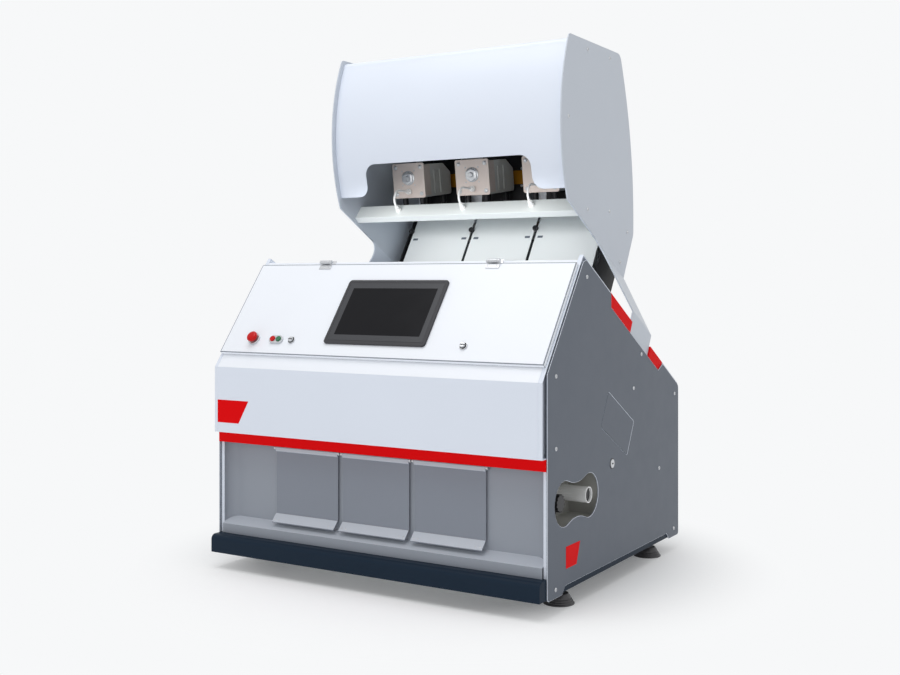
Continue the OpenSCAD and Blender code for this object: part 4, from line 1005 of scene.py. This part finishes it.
class SORTER_OT_hand_knobs(bpy.types.Operator):
    """Fluted hand knobs between the chute covers"""
    bl_idname = "sorter.hand_knobs"
    bl_label = "Hand knobs"

    def execute(self, context):
        knob_high = 14 * MM
        places = []
        for knob in solids("chute_knobs"):
            top = span(knob, CHUTE_OUT)[1]
            seat = RIGHT * halfway(knob, RIGHT) + CHUTE_OUT * (top - knob_high)
            places.append((seat + CHUTE_UP * halfway(knob, CHUTE_UP), CHUTE_OUT))
        scatter("hand_knobs", places, star_knob, sizes().knob, "black_plastic", "machine")
        return {"FINISHED"}


# What the lamps aim at, and each lamp's name, power, place, aim, width, height and spread
CABINET = Vector((0, 0, 0.9))
FEEDERS = Vector((0, 0.4, 1.14))
LAMPS = (
    ("key_light", "key", (0.2, -5.4, 1.75), CABINET, 3.0, 3.0, math.pi),
    ("top_light", "top", (-0.2, -1.3, 4.75), CABINET, 3.4, 3.4, math.pi),
    ("side_fill", "fill", (4.6, -0.6, 2.4), CABINET, 2.6, 2.6, math.pi),
    ("feeder_fill", "inner", (0, -0.45, 1.29), FEEDERS, 0.9, 0.1, math.radians(45)))

# Half the floor's width, and the distances between which its shadow fades out
FLOOR_HALF = 14.0
FADE_FROM = 0.62
FADE_TO = 1.2


class SORTER_OT_stage(bpy.types.Operator):
    """Camera at the picture's angle, soft lights and a pale floor"""
    bl_idname = "sorter.stage"
    bl_label = "Stage"

    def execute(self, context):
        scene = context.scene
        stage = scene.sorter_stage
        view = bpy.data.cameras.new("picture_view")
        view.lens = stage.lens
        view.sensor_width = 36.0
        view.shift_y = stage.rise
        view.clip_end = 100.0
        eye = bpy.data.objects.new("picture_view", view)
        eye.location = stage.eye
        eye.rotation_euler = (math.pi / 2, 0, stage.turn)
        scene.collection.objects.link(eye)
        scene.camera = eye
        scene.view_settings.view_transform = "Standard"

        for name, power, spot, aim, wide, high, beam in LAMPS:
            lamp = bpy.data.lights.new(name, "AREA")
            lamp.energy = getattr(stage, power)
            lamp.shape = "RECTANGLE"
            lamp.size = wide
            lamp.size_y = high
            lamp.spread = beam
            lit = bpy.data.objects.new(name, lamp)
            lit.location = spot
            lit.rotation_euler = (aim - Vector(spot)).to_track_quat("-Z", "Y").to_euler()
            lit.visible_camera = False
            scene.collection.objects.link(lit)

        self.sky(scene, stage.sky)
        self.floor(scene, stage.lift)
        return {"FINISHED"}

    def seen(self, tree):
        """1 for rays that see the background itself: camera, glossy and transmission rays."""
        path = node(tree, "ShaderNodeLightPath", (-700, 300))
        first = node(tree, "ShaderNodeMath", (-500, 300), operation="MAXIMUM")
        both = node(tree, "ShaderNodeMath", (-300, 300), operation="MAXIMUM")
        tree.links.new(path.outputs["Is Camera Ray"], first.inputs[0])
        tree.links.new(path.outputs["Is Glossy Ray"], first.inputs[1])
        tree.links.new(first.outputs[0], both.inputs[0])
        tree.links.new(path.outputs["Is Transmission Ray"], both.inputs[1])
        return both.outputs[0]

    def sky(self, scene, strength):
        """Even light, with the floor's colour where the background itself is seen."""
        world = bpy.data.worlds.new("studio")
        world.use_nodes = True
        scene.world = world
        tree = world.node_tree
        light = tree.nodes["Background"]
        tune(light, Color=(1, 1, 1, 1), Strength=strength)
        shown = node(tree, "ShaderNodeBackground", (0, -150), Strength=1.0, Color=(*paints().floor, 1))
        pick = node(tree, "ShaderNodeMixShader", (250, 0))
        tree.links.new(self.seen(tree), pick.inputs["Fac"])
        tree.links.new(light.outputs[0], pick.inputs[1])
        tree.links.new(shown.outputs[0], pick.inputs[2])
        tree.links.new(pick.outputs[0], tree.nodes["World Output"].inputs["Surface"])

    def floor(self, scene, lift):
        """Wide floor that takes the shadow and runs into the background."""
        work = bmesh.new()
        bmesh.ops.create_grid(work, x_segments=2, y_segments=2, size=FLOOR_HALF)
        mesh = bpy.data.meshes.new("studio_floor")
        work.to_mesh(mesh)
        work.free()
        made = bpy.data.objects.new("studio_floor", mesh)
        scene.collection.objects.link(made)
        tree, shader = blank("studio_floor")
        pale = (*paints().floor, 1)
        tune(shader, Base_Color=pale, Roughness=0.9, Specular_IOR_Level=0.05, Emission_Color=pale,
             Emission_Strength=lift)
        coords = node(tree, "ShaderNodeTexCoord", (-900, -200))
        away = node(tree, "ShaderNodeVectorMath", (-700, -200), operation="LENGTH")
        fade = node(tree, "ShaderNodeMapRange", (-500, -200), interpolation_type="SMOOTHSTEP",
                    From_Min=FADE_FROM, From_Max=FADE_TO)
        shown = node(tree, "ShaderNodeEmission", (-200, -200), Strength=1.0, Color=pale)
        blend = node(tree, "ShaderNodeMixShader", (250, 0))
        link = tree.links.new
        link(coords.outputs["Object"], away.inputs[0])
        link(away.outputs["Value"], fade.inputs["Value"])
        link(fade.outputs["Result"], blend.inputs["Fac"])
        link(shader.outputs[0], blend.inputs[1])
        link(shown.outputs[0], blend.inputs[2])
        link(blend.outputs[0], tree.nodes["Material Output"].inputs["Surface"])
        mesh.materials.append(finish("studio_floor"))


class SORTER_PT_panel(bpy.types.Panel):
    """Lists the steps and the values they use"""
    bl_label = "Colour sorter"
    bl_idname = "SORTER_PT_panel"
    bl_space_type = "VIEW_3D"
    bl_region_type = "UI"
    bl_category = "Sorter"

    def draw(self, context):
        for step in STEPS:
            self.layout.operator(step.bl_idname)
        for values in (context.scene.sorter_paints, context.scene.sorter_sizes, context.scene.sorter_stage):
            for key in values.__annotations__:
                self.layout.prop(values, key)


STEPS = (SORTER_OT_stage, SORTER_OT_finishes, SORTER_OT_cables, SORTER_OT_panel_screws,
         SORTER_OT_feeder_fittings, SORTER_OT_small_screws, SORTER_OT_flap_strips, SORTER_OT_feeder_trim,
         SORTER_OT_lock_marks, SORTER_OT_pocket_fittings, SORTER_OT_screen, SORTER_OT_red_fields,
         SORTER_OT_door_seal, SORTER_OT_hand_knobs)
GROUPS = {"sorter_paints": SorterPaints, "sorter_sizes": SorterSizes, "sorter_stage": SorterStage}


def register():
    """Adds the classes and the scene's values."""
    for made in (*GROUPS.values(), *STEPS, SORTER_PT_panel):
        bpy.utils.register_class(made)
    for key, made in GROUPS.items():
        setattr(bpy.types.Scene, key, PointerProperty(type=made))


def unregister():
    """Takes the classes and the scene's values out again."""
    for key in GROUPS:
        delattr(bpy.types.Scene, key)
    for made in reversed((*GROUPS.values(), *STEPS, SORTER_PT_panel)):
        bpy.utils.unregister_class(made)


def main():
    """Runs every step in order."""
    register()
    for step in STEPS:
        area, name = step.bl_idname.split(".")
        getattr(getattr(bpy.ops, area), name)()


if __name__ == "__main__":
    main()
